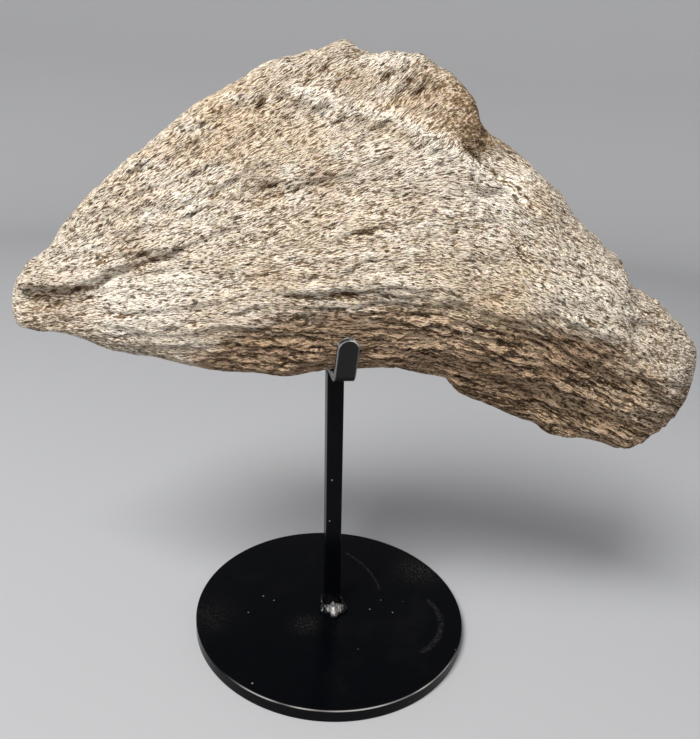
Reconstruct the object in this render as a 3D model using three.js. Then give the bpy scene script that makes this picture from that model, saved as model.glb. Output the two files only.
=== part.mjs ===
// Triceratops skull fragment resting on a welded steel stand, in millimetres.
// The origin is the middle of the underside of the base plate. x runs to the right, y to the back
// and z up, and the face that is shown looks towards -y.

import * as THREE from 'three';

// Gap left wherever two pieces touch
const GAP = 0.3;

// Base plate
const BASE_DIAMETER = 140;
const BASE_THICKNESS = 6.4;
const BASE_CHAMFER = 0.5;
const BASE_SEGMENTS = 96;

// Post, a square bar that leans to the left and is turned a little about its length
const POST_SIDE = 8;
const POST_CORNER = 0.7;
const POST_FOOT = [0.6, 2.4];
const POST_TOP_X = -5.1;
const STAND_TURN = THREE.MathUtils.degToRad(12);

// Cradle, a flat strip bent to a U. Its run is measured forwards from the middle of the post
const STRIP_WIDTH = 9.5;
const STRIP_THICKNESS = 3;
const RUN_UNDERSIDE = 142.2;
const PRONG_FOOT = 23;
const PRONG_TOP = [28.7, 164.2];
const ARM_FOOT = -11.6;
const ARM_TOP = [-12, 188];
const BEND_RADIUS = 3.4;
const BEND_STEPS = 5;
const TIP_STEPS = 6;

// Weld round the foot of the post, with a lump in front, ripples as [share, waves, phase] and a
// profile as [share of the reach, share of the height]
const WELD_REACH = 1.4;
const WELD_HEIGHT = 1.8;
const WELD_LUMP_REACH = 6;
const WELD_LUMP_HEIGHT = 2;
const WELD_LUMP_SIDE = THREE.MathUtils.degToRad(-90);
const WELD_LUMP_SPREAD = 0.85;
const WELD_RIPPLES = [[0.16, 7, 0], [0.1, 11, 1]];
const WELD_PROFILE = [[0, 0], [1, 0], [0.85, 0.5], [0.4, 0.85], [0, 1]];
const WELD_STEPS = 32;

// Fragment: outline of the bone as [x, z], from the left tip to the right tip
const CREST = [
  [-154.5, 163], [-153.8, 167], [-152, 172.5], [-146, 182], [-135.5, 189.5], [-129, 198.5],
  [-118, 211.5], [-96, 232], [-75, 249], [-55, 262.5], [-37, 273.5], [-28, 274.5], [-18, 278.5],
  [-9, 281.5], [-3, 279.5], [6, 278], [21, 278.5], [31, 274], [40, 268.5], [45.8, 262.5], [49, 255],
  [54.5, 250], [66, 243], [84, 230.5], [95, 219.5], [107, 209.5], [119, 199], [123, 191.5],
  [133, 186.5], [141, 182], [148, 176], [156, 169.5], [162, 162], [163.7, 156], [164, 150],
];
const LIP = [
  [-154.5, 163], [-154.2, 156], [-152, 152], [-146, 151], [-130, 151], [-121, 149.7], [-107, 145.3],
  [-83, 144.1], [-60, 140.8], [-38, 141.4], [-28, 140.7], [-14, 143.6], [-7, 145.5], [5, 146.5],
  [10, 147.2], [20, 147.6], [34, 145.6], [45, 144.3], [49.5, 139.5], [54, 136.4], [77, 126.8],
  [89, 121.6], [101, 115], [113, 113.8], [125, 112], [135, 109.3], [144, 112.2], [151, 118],
  [158.5, 127], [162.5, 134], [163.8, 142], [164, 150],
];

// Depths along the bone as [x, y]: its lower edge, the front just above that edge, the front at
// the brow where the face turns under, the front just below the crest, the crest and the back
const LIP_DEPTH = [
  [-154.5, 2], [-110, -5], [-60, -11.5], [0, -13.5], [45, -11], [90, 0], [130, 4], [164, 4],
];
const LOWER_FRONT = [
  [-154.5, -1], [-140, -5], [-110, -9], [-60, -14], [0, -15.5], [45, -14], [90, -6], [130, -3],
  [164, 1],
];
const BROW_FRONT = [
  [-154.5, -2], [-140, -8], [-110, -15], [-60, -23], [0, -28], [50, -29], [90, -27], [130, -19],
  [150, -11], [164, 0],
];
const UPPER_FRONT = [
  [-154.5, -2], [-140, -6], [-110, -7], [-60, -6], [0, -6], [50, -9], [90, -8], [130, -7], [164, 1],
];
const CREST_DEPTH = [[-154.5, 2], [-60, 2], [0, 3], [60, 1], [110, 3], [164, 4]];
const BACK_DEPTH = [
  [-154.5, 5], [-140, 8], [-100, 10.5], [-40, 11.5], [40, 11], [100, 12.5], [140, 12], [164, 7],
];

// Height of the brow along the bone, as a share of the way from lower edge to crest, how far the
// look of the underside fades in below and above it, and how full the curves to the lower edge
// and to the crest are
const BROW_HEIGHT = [
  [-154.5, 0.35], [-122, 0.25], [-71, 0.2], [-45, 0.25], [-20, 0.29], [33, 0.33], [62, 0.42],
  [87, 0.56], [113, 0.66], [135, 0.66], [164, 0.5],
];
const BROW_FADE = [0.12, 0.06];
const UNDER_FULLNESS = 0.35;
const UPPER_FULLNESS = 1.25;

// Radii that round the lower edge, the crest and the two tips
const LIP_RADIUS = 4;
const LIP_BACK_RADIUS = 12;
const CREST_RADIUS = 8;
const TIP_RADIUS = 9;

// Long marks on the front. Each has a line of [x, z] points, the length over which it fades past
// its ends, and ridges or grooves along it as [distance above the line, width, height]
const LONG_MARKS = [
  // Groove at the left tip
  {
    line: [[-142, 172], [-122, 173], [-104, 182], [-80, 192], [-50, 199]],
    fadeLength: 14,
    ridges: [[5, 6, 2], [-3, 5, -4]],
  },
  // Crack along the rim right of the knob
  {
    line: [[42, 243], [58, 231], [86, 212]],
    fadeLength: 8,
    ridges: [[-4, 4, 0.8], [0, 2.5, -1.8]],
  },
  // Split that runs down the middle
  {
    line: [[32, 208], [34, 180], [39, 148]],
    fadeLength: 6,
    ridges: [[5, 5, 0.8], [0, 2.2, -1.3]],
  },
  // Shallow valley across the upper face
  {
    line: [[-40, 221], [-10, 225], [24, 224]],
    fadeLength: 12,
    ridges: [[0, 6, -2.2]],
  },
  // Broken edge below the brow
  {
    line: [[37, 156], [60, 153], [92, 141], [132, 129]],
    fadeLength: 9,
    ridges: [[4, 4, 1.2], [-4, 5, -3.2]],
  },
  // Hollow above the brow at the right
  {
    line: [[60, 176], [90, 166], [128, 146]],
    fadeLength: 12,
    ridges: [[0, 5, -2]],
  },
];

// Ledge below the crest: the front steps back above this line, then comes forward again
const LEDGE = {
  line: [[-20, 261], [3, 257], [30, 247], [54, 233]],
  fadeLength: 10,
  ridge: [-2, 6, 2],
  stepBack: 5.5,
  stepStart: -1,
  stepEnd: 3,
  recovery: 22,
};

// Lumps and pits on the front face as [x, z, radius, height]
const LUMPS = [
  [46, 257, 12, 5], [-28, 268, 10, 2], [-146, 157, 7, 2.5], [-96, 222, 16, 1.6], [112, 190, 13, 2],
  [-58, 236, 17, 1.4], [70, 222, 13, 1.5], [0, 205, 20, 1.4], [-100, 160, 15, 1.6], [146, 148, 10, 2],
  [-39, 253, 4, -3.2], [-36, 224, 5, -3], [-14, 224, 5, -2.4], [-92, 191, 6, -3], [-49, 199, 5, -2],
  [-116, 168, 9, -2.2], [-136, 165, 7, -3], [24, 262, 9, -2], [86, 180, 5, -2], [130, 172, 6, -2],
];

// Lumps and hollows on the back face
const BACK_LUMPS = [
  [-80, 190, 34, 2.4], [20, 235, 30, -2.5], [70, 180, 30, 2.8], [-30, 175, 22, -1.8],
  [120, 150, 20, -1.6], [-120, 172, 14, -1.4], [-20, 262, 14, 1.8], [105, 195, 12, 1.5],
];

// Grain of the bone: parallel ridges that arch over a point right of the middle and sway a little.
// Finer ridges, at a multiple of the pitch, make up part of the height
const GRAIN_APEX = 45;
const GRAIN_SLOPE = 0.62;
const GRAIN_ROUNDING = 40;
const GRAIN_FLOOR = 142;
const GRAIN_RISE = 90;
const GRAIN_PITCH = 14.5;
const GRAIN_HEIGHT = 1.15;
const GRAIN_SWAY = 0.25;
const GRAIN_SWAY_LENGTH = 19;
const FINE_GRAIN_RATIO = 1.7;
const FINE_GRAIN_SWAY = 0.3;
const FINE_GRAIN_SWAY_LENGTH = 31;
const FINE_GRAIN_SHARE = 0.35;

// Flakes that overlap like shingles below the brow, in rows parallel to the lower edge, with the
// rows waved as [share of the pitch, wave length] and each flake highest at a share of its row
const FLAKE_PITCH = 11;
const FLAKE_HEIGHT = 1.3;
const FLAKE_WAVES = [[0.35, 46], [0.2, 17]];
const FLAKE_PEAK = 0.75;
const FLAKE_SHARE = 0.75;

// Raggedness of the crest and of the lower edge, as waves of [length, phase]
const RAGGED_HEIGHT = 0.4;
const RAGGED_WAVES = [[1.9, 0], [3.3, 1]];
const CREST_RAGGED_SHIFT = 46;

// Place on the front, as [x, z] and radius, where the prong bears and the relief is slight
const BEARING = [2, 156];
const BEARING_RADIUS = 16;
const BEARING_CALM = 0.85;

// Mesh density of the fragment
const TIP_OFFSETS = [0.4, 1.7, 3.9];
const MIDDLE_SECTIONS = 75;
const FRONT_ROWS = 31;
const BACK_ROWS = 22;

// Value at x of a smooth curve through [x, value] points
function along(points, x) {
  let i = 1;
  while (i < points.length - 1 && x > points[i][0]) {
    i += 1;
  }
  const slope = (a, b) => (b[1] - a[1]) / (b[0] - a[0]);
  const [a, b] = [points[i - 1], points[i]];
  const before = points[i - 2] ?? a;
  const after = points[i + 1] ?? b;
  const span = b[0] - a[0];
  const s = THREE.MathUtils.clamp((x - a[0]) / span, 0, 1);
  const limit = 2 * Math.abs(slope(a, b));
  const bounded = (value) => THREE.MathUtils.clamp(value, -limit, limit);
  const slopeA = bounded(slope(before, b)) * span;
  const slopeB = bounded(slope(a, after)) * span;
  const s2 = s * s;
  const s3 = s2 * s;
  return (2 * s3 - 3 * s2 + 1) * a[1] + (s3 - 2 * s2 + s) * slopeA
    + (3 * s2 - 2 * s3) * b[1] + (s3 - s2) * slopeB;
}

// Quarter round that rises from 0 at an edge to 1 at the given distance from it
function roundOff(distance, radius) {
  const s = THREE.MathUtils.clamp(distance / radius, 0, 1);
  return Math.sqrt(1 - (1 - s) ** 2);
}

// Bump of height 1 that dies away on both sides of zero
function bump(distance, width) {
  return Math.exp(-((distance / width) ** 2));
}

// Distance from a point to a line of [x, z] points, positive above the line, and the fade that
// takes a mark away over the given length past each end of the line
function fromLine(line, x, z, fadeLength) {
  let best = { side: Infinity, fade: 0 };
  for (let i = 1; i < line.length; i += 1) {
    const [ax, az] = line[i - 1];
    const [bx, bz] = line[i];
    const length = Math.hypot(bx - ax, bz - az);
    const s = ((x - ax) * (bx - ax) + (z - az) * (bz - az)) / (length * length);
    const on = THREE.MathUtils.clamp(s, 0, 1);
    const distance = Math.hypot(x - ax - on * (bx - ax), z - az - on * (bz - az));
    const past = Math.abs(s - on) * length;
    const above = (bx - ax) * (z - az) - (bz - az) * (x - ax) > 0 ? 1 : -1;
    if (distance < Math.abs(best.side)) {
      best = { side: above * distance, fade: bump(past, fadeLength) };
    }
  }
  return best;
}

// Sum of [distance above the line, width, height] ridges at one distance from their line
function sumOfRidges(ridges, side) {
  return ridges.reduce((sum, [offset, width, height]) => sum + height * bump(side - offset, width), 0);
}

function sumOfLumps(lumps, x, z) {
  return lumps.reduce((sum, [lx, lz, radius, height]) => (
    sum + height * bump(Math.hypot(x - lx, z - lz), radius)
  ), 0);
}

// Height of the grain at a point of a face, with the ridges running under the arch
function grain(x, z) {
  const lift = THREE.MathUtils.clamp((z - GRAIN_FLOOR) / GRAIN_RISE, 0, 1);
  const arch = GRAIN_SLOPE * (Math.hypot(x - GRAIN_APEX, GRAIN_ROUNDING) - GRAIN_ROUNDING);
  const sway = GRAIN_SWAY * Math.sin(x / GRAIN_SWAY_LENGTH);
  const across = (z + arch * lift) / GRAIN_PITCH + sway;
  const fineAcross = FINE_GRAIN_RATIO * across + FINE_GRAIN_SWAY * Math.sin(x / FINE_GRAIN_SWAY_LENGTH);
  const main = Math.sin(2 * Math.PI * across);
  const fine = Math.sin(2 * Math.PI * fineAcross);
  return GRAIN_HEIGHT * THREE.MathUtils.lerp(main, fine, FINE_GRAIN_SHARE);
}

// Height of the rows of flakes, each row rising slowly upwards and dropping off at its upper edge
function flakes(x, toLip) {
  const waves = FLAKE_WAVES.reduce((sum, [share, length]) => (
    sum + share * Math.sin((2 * Math.PI * x) / length)
  ), 0);
  const row = toLip / FLAKE_PITCH + waves;
  const phase = row - Math.floor(row);
  const rise = THREE.MathUtils.smoothstep(phase, 0, FLAKE_PEAK);
  const drop = THREE.MathUtils.smoothstep(phase, FLAKE_PEAK, 1);
  return FLAKE_HEIGHT * (rise - drop - 0.5);
}

// How far the front stands proud at the ledge below the crest
function ledgeRelief(x, z) {
  const { side, fade } = fromLine(LEDGE.line, x, z, LEDGE.fadeLength);
  const behind = THREE.MathUtils.smoothstep(side, LEDGE.stepStart, LEDGE.stepEnd);
  const step = LEDGE.stepBack * behind * bump(side, LEDGE.recovery);
  return fade * (sumOfRidges([LEDGE.ridge], side) - step);
}

// How far the front face stands proud of its plain form, at a height above the lower edge
function frontRelief(x, z, toLip, underBrow) {
  const texture = THREE.MathUtils.lerp(grain(x, z), flakes(x, toLip), FLAKE_SHARE * underBrow);
  const marks = LONG_MARKS.reduce((sum, { line, fadeLength, ridges }) => {
    const { side, fade } = fromLine(line, x, z, fadeLength);
    return sum + fade * sumOfRidges(ridges, side);
  }, ledgeRelief(x, z));
  const toBearing = Math.hypot(x - BEARING[0], z - BEARING[1]);
  const calm = 1 - BEARING_CALM * bump(toBearing, BEARING_RADIUS);
  return calm * (texture + sumOfLumps(LUMPS, x, z) + marks);
}

// How far the back face stands proud of its plain form
function backRelief(x, z) {
  return grain(-x, z) + sumOfLumps(BACK_LUMPS, x, z);
}

// Depth of the plain front at a height share: out from the lower edge to the brow, then back up
function plainFront(x, share) {
  const brow = along(BROW_HEIGHT, x);
  const browDepth = along(BROW_FRONT, x);
  if (share < brow) {
    const s = share / brow;
    const full = s * (1 + UNDER_FULLNESS * (1 - s));
    return THREE.MathUtils.lerp(along(LOWER_FRONT, x), browDepth, full);
  }
  const s = (share - brow) / (1 - brow);
  return THREE.MathUtils.lerp(browDepth, along(UPPER_FRONT, x), s ** UPPER_FULLNESS);
}

// Small ups and downs of a broken edge
function ragged(x) {
  return RAGGED_HEIGHT * RAGGED_WAVES.reduce((sum, [length, phase]) => (
    sum + Math.sin(x / length + phase)
  ), 0);
}

// One point of the fragment's skin: x, height share and which face
function bonePoint(x, share, isFront) {
  const low = along(LIP, x) - ragged(x) * (1 - bump(x - BEARING[0], BEARING_RADIUS));
  const high = along(CREST, x) + ragged(x + CREST_RAGGED_SHIFT);
  const height = high - low;
  const z = low + share * height;
  const spine = THREE.MathUtils.lerp(along(LIP_DEPTH, x), along(CREST_DEPTH, x), share);
  const toTip = Math.min(x - CREST[0][0], CREST.at(-1)[0] - x);
  const lipRadius = isFront ? LIP_RADIUS : LIP_BACK_RADIUS;
  const rounding = roundOff(share * height, Math.min(lipRadius, height / 2))
    * roundOff((1 - share) * height, Math.min(CREST_RADIUS, height / 2))
    * roundOff(toTip, TIP_RADIUS);
  const brow = along(BROW_HEIGHT, x);
  const underBrow = 1 - THREE.MathUtils.smoothstep(share, brow - BROW_FADE[0], brow + BROW_FADE[1]);
  const face = isFront
    ? plainFront(x, share) - frontRelief(x, z, z - low, underBrow)
    : along(BACK_DEPTH, x) + backRelief(x, z);
  return new THREE.Vector3(x, THREE.MathUtils.lerp(spine, face, rounding), z);
}

// Height shares of the rows on one face, closer together near the edges
function heightShares(rows) {
  return Array.from({ length: rows + 1 }, (_, i) => {
    const s = i / rows;
    return THREE.MathUtils.lerp(s, (1 - Math.cos(Math.PI * s)) / 2, 0.5);
  });
}

// Index of a fan that closes one end of a skin: the ring starts at a point and meets a middle
function fanIndex(start, count, middle, isFirst) {
  return Array.from({ length: count }, (_, j) => {
    const here = start + j;
    const next = start + ((j + 1) % count);
    return isFirst ? [middle, here, next] : [middle, next, here];
  }).flat();
}

// Closed mesh skinned over a row of closed sections with equal point counts. The sections are
// capped at both ends, or joined end to end where ring is true
function skin(sections, ring = false) {
  const count = sections[0].length;
  const points = sections.flat();
  const index = [];
  const strips = ring ? sections.length : sections.length - 1;
  for (let i = 0; i < strips; i += 1) {
    const here = i * count;
    const next = ((i + 1) % sections.length) * count;
    for (let j = 0; j < count; j += 1) {
      const k = (j + 1) % count;
      index.push(here + j, next + j, next + k, here + j, next + k, here + k);
    }
  }
  if (!ring) {
    [sections[0], sections.at(-1)].forEach((section, end) => {
      const middle = new THREE.Vector3();
      section.forEach((point) => middle.addScaledVector(point, 1 / count));
      points.push(middle);
      const start = end * (sections.length - 1) * count;
      index.push(...fanIndex(start, count, points.length - 1, end === 0));
    });
  }
  const geometry = new THREE.BufferGeometry().setFromPoints(points);
  geometry.setIndex(index);
  geometry.computeVertexNormals();
  return geometry;
}

// Fragment of bone, skinned over sections from tip to tip
function fragmentGeometry() {
  const left = CREST[0][0];
  const right = CREST.at(-1)[0];
  const inset = TIP_OFFSETS.at(-1);
  const xs = [
    ...TIP_OFFSETS.slice(0, -1).map((offset) => left + offset),
    ...Array.from({ length: MIDDLE_SECTIONS }, (_, i) => (
      THREE.MathUtils.lerp(left + inset, right - inset, i / (MIDDLE_SECTIONS - 1))
    )),
    ...TIP_OFFSETS.slice(0, -1).reverse().map((offset) => right - offset),
  ];
  const frontShares = heightShares(FRONT_ROWS);
  const backShares = heightShares(BACK_ROWS).slice(1, -1).reverse();
  return skin(xs.map((x) => [
    ...frontShares.map((share) => bonePoint(x, share, true)),
    ...backShares.map((share) => bonePoint(x, share, false)),
  ]));
}

// Round plate with a small chamfer on both rims
function basePlateGeometry() {
  const radius = BASE_DIAMETER / 2;
  const profile = [
    [0, 0], [radius - BASE_CHAMFER, 0], [radius, BASE_CHAMFER],
    [radius, BASE_THICKNESS - BASE_CHAMFER], [radius - BASE_CHAMFER, BASE_THICKNESS],
    [0, BASE_THICKNESS],
  ].map(([r, z]) => new THREE.Vector2(r, z));
  return new THREE.LatheGeometry(profile, BASE_SEGMENTS).rotateX(Math.PI / 2);
}

// Square outline with cut corners, turned with the stand, about a centre at height z
function postSection(centreX, centreY, z) {
  const half = POST_SIDE / 2;
  const flat = half - POST_CORNER;
  const corners = [
    [flat, -half], [half, -flat], [half, flat], [flat, half],
    [-flat, half], [-half, flat], [-half, -flat], [-flat, -half],
  ];
  return corners.map(([x, y]) => new THREE.Vector3(x, y, 0)
    .applyAxisAngle(new THREE.Vector3(0, 0, 1), STAND_TURN)
    .add(new THREE.Vector3(centreX, centreY, z)));
}

function postGeometry() {
  return skin([
    postSection(POST_TOP_X, POST_FOOT[1], RUN_UNDERSIDE - GAP),
    postSection(POST_FOOT[0], POST_FOOT[1], BASE_THICKNESS + GAP),
  ]);
}

// Middle line of the strip as Vector2(forwards, up), from the arm's top to the prong's top
function stripPath() {
  const runMiddle = RUN_UNDERSIDE + STRIP_THICKNESS / 2;
  const armTop = new THREE.Vector2(...ARM_TOP);
  const armFoot = new THREE.Vector2(ARM_FOOT, runMiddle);
  const prongFoot = new THREE.Vector2(PRONG_FOOT, runMiddle);
  const prongTop = new THREE.Vector2(...PRONG_TOP);
  const bend = (before, corner, after) => {
    const start = corner.clone().lerp(before, BEND_RADIUS / corner.distanceTo(before));
    const end = corner.clone().lerp(after, BEND_RADIUS / corner.distanceTo(after));
    return new THREE.QuadraticBezierCurve(start, corner, end).getPoints(BEND_STEPS);
  };
  return [
    armTop,
    ...bend(armTop, armFoot, prongFoot),
    ...bend(armFoot, prongFoot, prongTop),
    prongTop,
  ];
}

// Places and half widths along a rounded end of the strip, from its tip inwards
function roundedTip(end, inner) {
  const halfWidth = STRIP_WIDTH / 2;
  const inwards = inner.clone().sub(end).normalize();
  return Array.from({ length: TIP_STEPS + 1 }, (_, i) => {
    const isLast = i === TIP_STEPS;
    const angle = isLast ? Math.PI / 2 : (Math.PI / 2) * ((i + 0.25) / TIP_STEPS);
    const inset = halfWidth * (1 - Math.cos(angle));
    return { at: end.clone().addScaledVector(inwards, inset), width: halfWidth * Math.sin(angle) };
  });
}

// Strip skinned along its middle line, with both ends rounded across the width
function cradleGeometry() {
  const path = stripPath();
  const stations = [
    ...roundedTip(path[0], path[1]),
    ...path.slice(1, -1).map((at) => ({ at, width: STRIP_WIDTH / 2 })),
    ...roundedTip(path.at(-1), path.at(-2)).reverse(),
  ];
  const forwards = new THREE.Vector3(Math.sin(STAND_TURN), -Math.cos(STAND_TURN), 0);
  const sideways = new THREE.Vector3(Math.cos(STAND_TURN), Math.sin(STAND_TURN), 0);
  const centre = new THREE.Vector3(POST_TOP_X, POST_FOOT[1], 0);
  return skin(stations.map(({ at, width }, i) => {
    const from = stations[Math.max(i - 1, 0)].at;
    const to = stations[Math.min(i + 1, stations.length - 1)].at;
    const direction = to.clone().sub(from).normalize();
    const normal = new THREE.Vector2(-direction.y, direction.x);
    return [[-1, -1], [-1, 1], [1, 1], [1, -1]].map(([across, through]) => {
      const place = at.clone().addScaledVector(normal, (through * STRIP_THICKNESS) / 2);
      return centre.clone()
        .addScaledVector(forwards, place.x)
        .addScaledVector(sideways, across * width)
        .add(new THREE.Vector3(0, 0, place.y));
    });
  }));
}

// Lumpy fillet of weld that runs once round the foot of the post, thickest in front of it
function weldGeometry() {
  const clear = POST_SIDE / 2 + 2 * GAP;
  const place = new THREE.Matrix4().makeRotationZ(STAND_TURN)
    .setPosition(POST_FOOT[0], POST_FOOT[1], BASE_THICKNESS + GAP);
  const sections = Array.from({ length: WELD_STEPS }, (_, i) => {
    const angle = (2 * Math.PI * i) / WELD_STEPS;
    const [c, s] = [Math.cos(angle), Math.sin(angle)];
    const inner = clear / Math.max(Math.abs(c), Math.abs(s));
    const turn = angle - WELD_LUMP_SIDE;
    const lump = bump(Math.atan2(Math.sin(turn), Math.cos(turn)), WELD_LUMP_SPREAD);
    const ripple = WELD_RIPPLES.reduce((sum, [share, waves, phase]) => (
      sum + share * Math.sin(waves * angle + phase)
    ), 1);
    const reach = (WELD_REACH + WELD_LUMP_REACH * lump) * ripple;
    const height = (WELD_HEIGHT + WELD_LUMP_HEIGHT * lump) * ripple;
    return WELD_PROFILE.map(([out, up]) => (
      new THREE.Vector3((inner + out * reach) * c, (inner + out * reach) * s, up * height)
        .applyMatrix4(place)
    ));
  });
  return skin(sections, true);
}

function addPiece(group, name, geometry, color, roughness, metalness) {
  const material = new THREE.MeshStandardMaterial({ color, roughness, metalness });
  const mesh = new THREE.Mesh(geometry, material);
  mesh.name = name;
  group.add(mesh);
}

const group = new THREE.Group();
addPiece(group, 'skull_fragment', fragmentGeometry(), 0xc4b093, 0.85, 0);
addPiece(group, 'base_plate', basePlateGeometry(), 0x0c0e13, 0.3, 0.2);
addPiece(group, 'post', postGeometry(), 0x0c0e13, 0.3, 0.2);
addPiece(group, 'cradle', cradleGeometry(), 0x0c0e13, 0.3, 0.2);
addPiece(group, 'weld_bead', weldGeometry(), 0x55534f, 0.6, 0.6);

export default group;
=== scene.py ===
import itertools
import math

import bpy
import numpy as np
from mathutils import Matrix, Vector


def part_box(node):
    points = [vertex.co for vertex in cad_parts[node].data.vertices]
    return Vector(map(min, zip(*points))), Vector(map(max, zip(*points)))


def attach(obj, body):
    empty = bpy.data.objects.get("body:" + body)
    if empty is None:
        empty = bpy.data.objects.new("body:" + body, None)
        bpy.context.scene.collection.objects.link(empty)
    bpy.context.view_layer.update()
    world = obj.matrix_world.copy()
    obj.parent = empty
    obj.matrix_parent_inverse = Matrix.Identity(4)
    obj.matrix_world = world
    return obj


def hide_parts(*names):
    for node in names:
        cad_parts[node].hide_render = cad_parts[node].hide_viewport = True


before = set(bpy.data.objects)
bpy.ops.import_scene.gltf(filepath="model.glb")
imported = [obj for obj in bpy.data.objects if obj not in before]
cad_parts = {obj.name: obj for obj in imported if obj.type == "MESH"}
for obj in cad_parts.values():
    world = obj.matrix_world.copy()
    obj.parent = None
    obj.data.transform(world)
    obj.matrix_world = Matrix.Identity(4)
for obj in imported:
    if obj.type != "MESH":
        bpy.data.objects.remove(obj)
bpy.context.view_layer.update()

bl_info = {
    "name": "Fossil Skull Fragment on a Stand",
    "version": (1, 0, 0),
    "blender": (4, 5, 0),
    "location": "3D View > Sidebar > Fossil",
    "description": "Makes a weathered fossil bone, its welded steel stand and a plain studio",
    "category": "Add Mesh",
}

# Sizes below are in millimetres, x to the right, y to the back and z up
MM = 0.001

# Post and strip of the stand
STAND_TURN = math.radians(12)
POST_FOOT = (0.6, 2.4)
POST_TOP_X = -5.1
POST_GAP = 0.3
RUN_UNDERSIDE = 142.2
STRIP_THICKNESS = 3.0
PRONG_FOOT = 23.0
PRONG_TOP = (28.7, 164.2)
ARM_FOOT = -11.6
ARM_TOP = (-12.0, 188.0)
BEND_RADIUS = 3.4

# Weld round the foot of the post
WELD_REACH = 1.4
WELD_HEIGHT = 1.8
WELD_LUMP_REACH = 6.0
WELD_LUMP_HEIGHT = 2.0
WELD_LUMP_SIDE = math.radians(-90)
WELD_LUMP_SPREAD = 0.85
WELD_RIPPLES = [[0.16, 7, 0], [0.1, 11, 1]]

WELD_PROFILE = (0.8, 0.9)
WELD_LUMP_SIZE = 1.5

# Steps of the meshes, and how far a row of points lies beside each rounded corner
PLATE_STEPS = 240
PLATE_RINGS = 24
RIM_STEPS = 6
POST_ROWS = 40
BEND_STEPS = 11
TIP_STEPS = 14
WELD_STEPS = 180
WELD_ROWS = 18
FLOOR_STEPS = 96
CORNER_INSET = 0.4
STRIP_INSET = 0.25

# Worn and lit places: bearings between which the painted highlight on the front of the rim, coloured
# as worn steel, comes and goes, and on the prong the depth in front of which its edges are worn and
# partly painted as a highlight, and the heights over which its end is
RIM_HIGHLIGHT_COMES = (-135, -120)
RIM_HIGHLIGHT_GOES = (-35, -20)
WEAR_AND_HIGHLIGHT_DEPTH = -16
WEAR_AND_HIGHLIGHT_END = (160.5, 162.5)

# Scuffs on the plate: middle of the arc in x and y, radius, half width, start and end in degrees,
# and strength. Dust on it: x, y, radius and strength
PLATE_ARCS = [[-27.8, 6.2, 55.6, 1.3, 8, 56, 0.08], [30, -6.5, 28.5, 2.2, -60, 40, 0.055]]
PLATE_DUST = [[50, 38, 12, 0.12], [-62, -12, 12, 0.05], [-12, -15, 6, 0.1]]

# Outline of the bone as [x, z], from the left tip to the right tip
CREST = [
    [-154.5, 163], [-153.8, 167], [-152, 172.5], [-146, 182], [-135.5, 189.5], [-129, 198.5],
    [-118, 211.5], [-96, 232], [-75, 249], [-55, 262.5], [-37, 273.5], [-28, 274.5], [-18, 278.5],
    [-9, 281.5], [-3, 279.5], [6, 278], [21, 278.5], [31, 274], [40, 268.5], [45.8, 262.5], [49, 255],
    [54.5, 250], [66, 243], [84, 230.5], [95, 219.5], [107, 209.5], [119, 199], [123, 191.5],
    [133, 186.5], [141, 182], [148, 176], [156, 169.5], [162, 162], [163.7, 156], [164, 150],
]
LIP = [
    [-154.5, 163], [-154.2, 156], [-152, 152], [-146, 151], [-130, 151], [-121, 149.7], [-107, 145.3],
    [-83, 144.1], [-60, 140.8], [-38, 141.4], [-28, 140.7], [-14, 143.6], [-7, 145.5], [5, 146.5],
    [10, 147.2], [20, 147.6], [34, 145.6], [45, 144.3], [49.5, 139.5], [54, 136.4], [77, 126.8],
    [89, 121.6], [101, 115], [113, 113.8], [125, 112], [135, 109.3], [144, 112.2], [151, 118],
    [158.5, 127], [162.5, 134], [163.8, 142], [164, 150],
]

# Depths along the bone as [x, y]: its lower edge, the front just above that edge, the front at
# the brow where the face turns under, the front just below the crest, the crest and the back
LIP_DEPTH = [
    [-154.5, 2], [-110, -5], [-60, -11.5], [0, -13.5], [45, -11], [90, 0], [130, 4], [164, 4],
]
LOWER_FRONT = [
    [-154.5, -1], [-140, -5], [-110, -9], [-60, -14], [0, -15.5], [45, -14], [90, -6], [130, -3],
    [164, 1],
]
BROW_FRONT = [
    [-154.5, -2], [-140, -8], [-110, -15], [-60, -23], [0, -28], [50, -29], [90, -27], [130, -19],
    [150, -11], [164, 0],
]
UPPER_FRONT = [
    [-154.5, -2], [-140, -6], [-110, -7], [-60, -6], [0, -6], [50, -9], [90, -8], [130, -7], [164, 1],
]
CREST_DEPTH = [[-154.5, 2], [-60, 2], [0, 3], [60, 1], [110, 3], [164, 4]]
BACK_DEPTH = [
    [-154.5, 5], [-140, 8], [-100, 10.5], [-40, 11.5], [40, 11], [100, 12.5], [140, 12], [164, 7],
]

# Height of the brow along the bone, as a share of the way from lower edge to crest
BROW_HEIGHT = [
    [-154.5, 0.35], [-122, 0.25], [-71, 0.2], [-45, 0.25], [-20, 0.29], [33, 0.33], [62, 0.42],
    [87, 0.56], [113, 0.66], [135, 0.66], [164, 0.5],
]

# Distances of the first columns from each tip, with even steps beyond the last
NEAR_TIP = (0.15, 0.5, 1.1, 1.9, 2.9, 3.9)

# Radii that round the lower edge, the crest and the two tips
LIP_RADIUS = 4.0
LIP_BACK_RADIUS = 12.0
CREST_RADIUS = 8.0
TIP_RADIUS = 9.0

# Lines on the front as [x, z]
LEDGE_LINE = [[-26, 262], [-7, 258], [13, 254], [26, 249], [38, 243], [54, 233]]
GROOVE_LINE = [[-142, 172], [-122, 174], [-111, 177], [-104, 182], [-96, 186], [-80, 193]]
RIM_CRACK_LINE = [[42, 244], [47, 240], [60, 231], [72, 223]]
SPLIT_LINE = [[32, 208], [34, 180], [39, 148]]
VALLEY_LINE = [[-40, 221], [-10, 225], [24, 224]]
BREAK_LINE = [[37, 156], [60, 153], [92, 141], [132, 129]]
RIGHT_HOLLOW_LINE = [[60, 176], [90, 166], [128, 146]]

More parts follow.
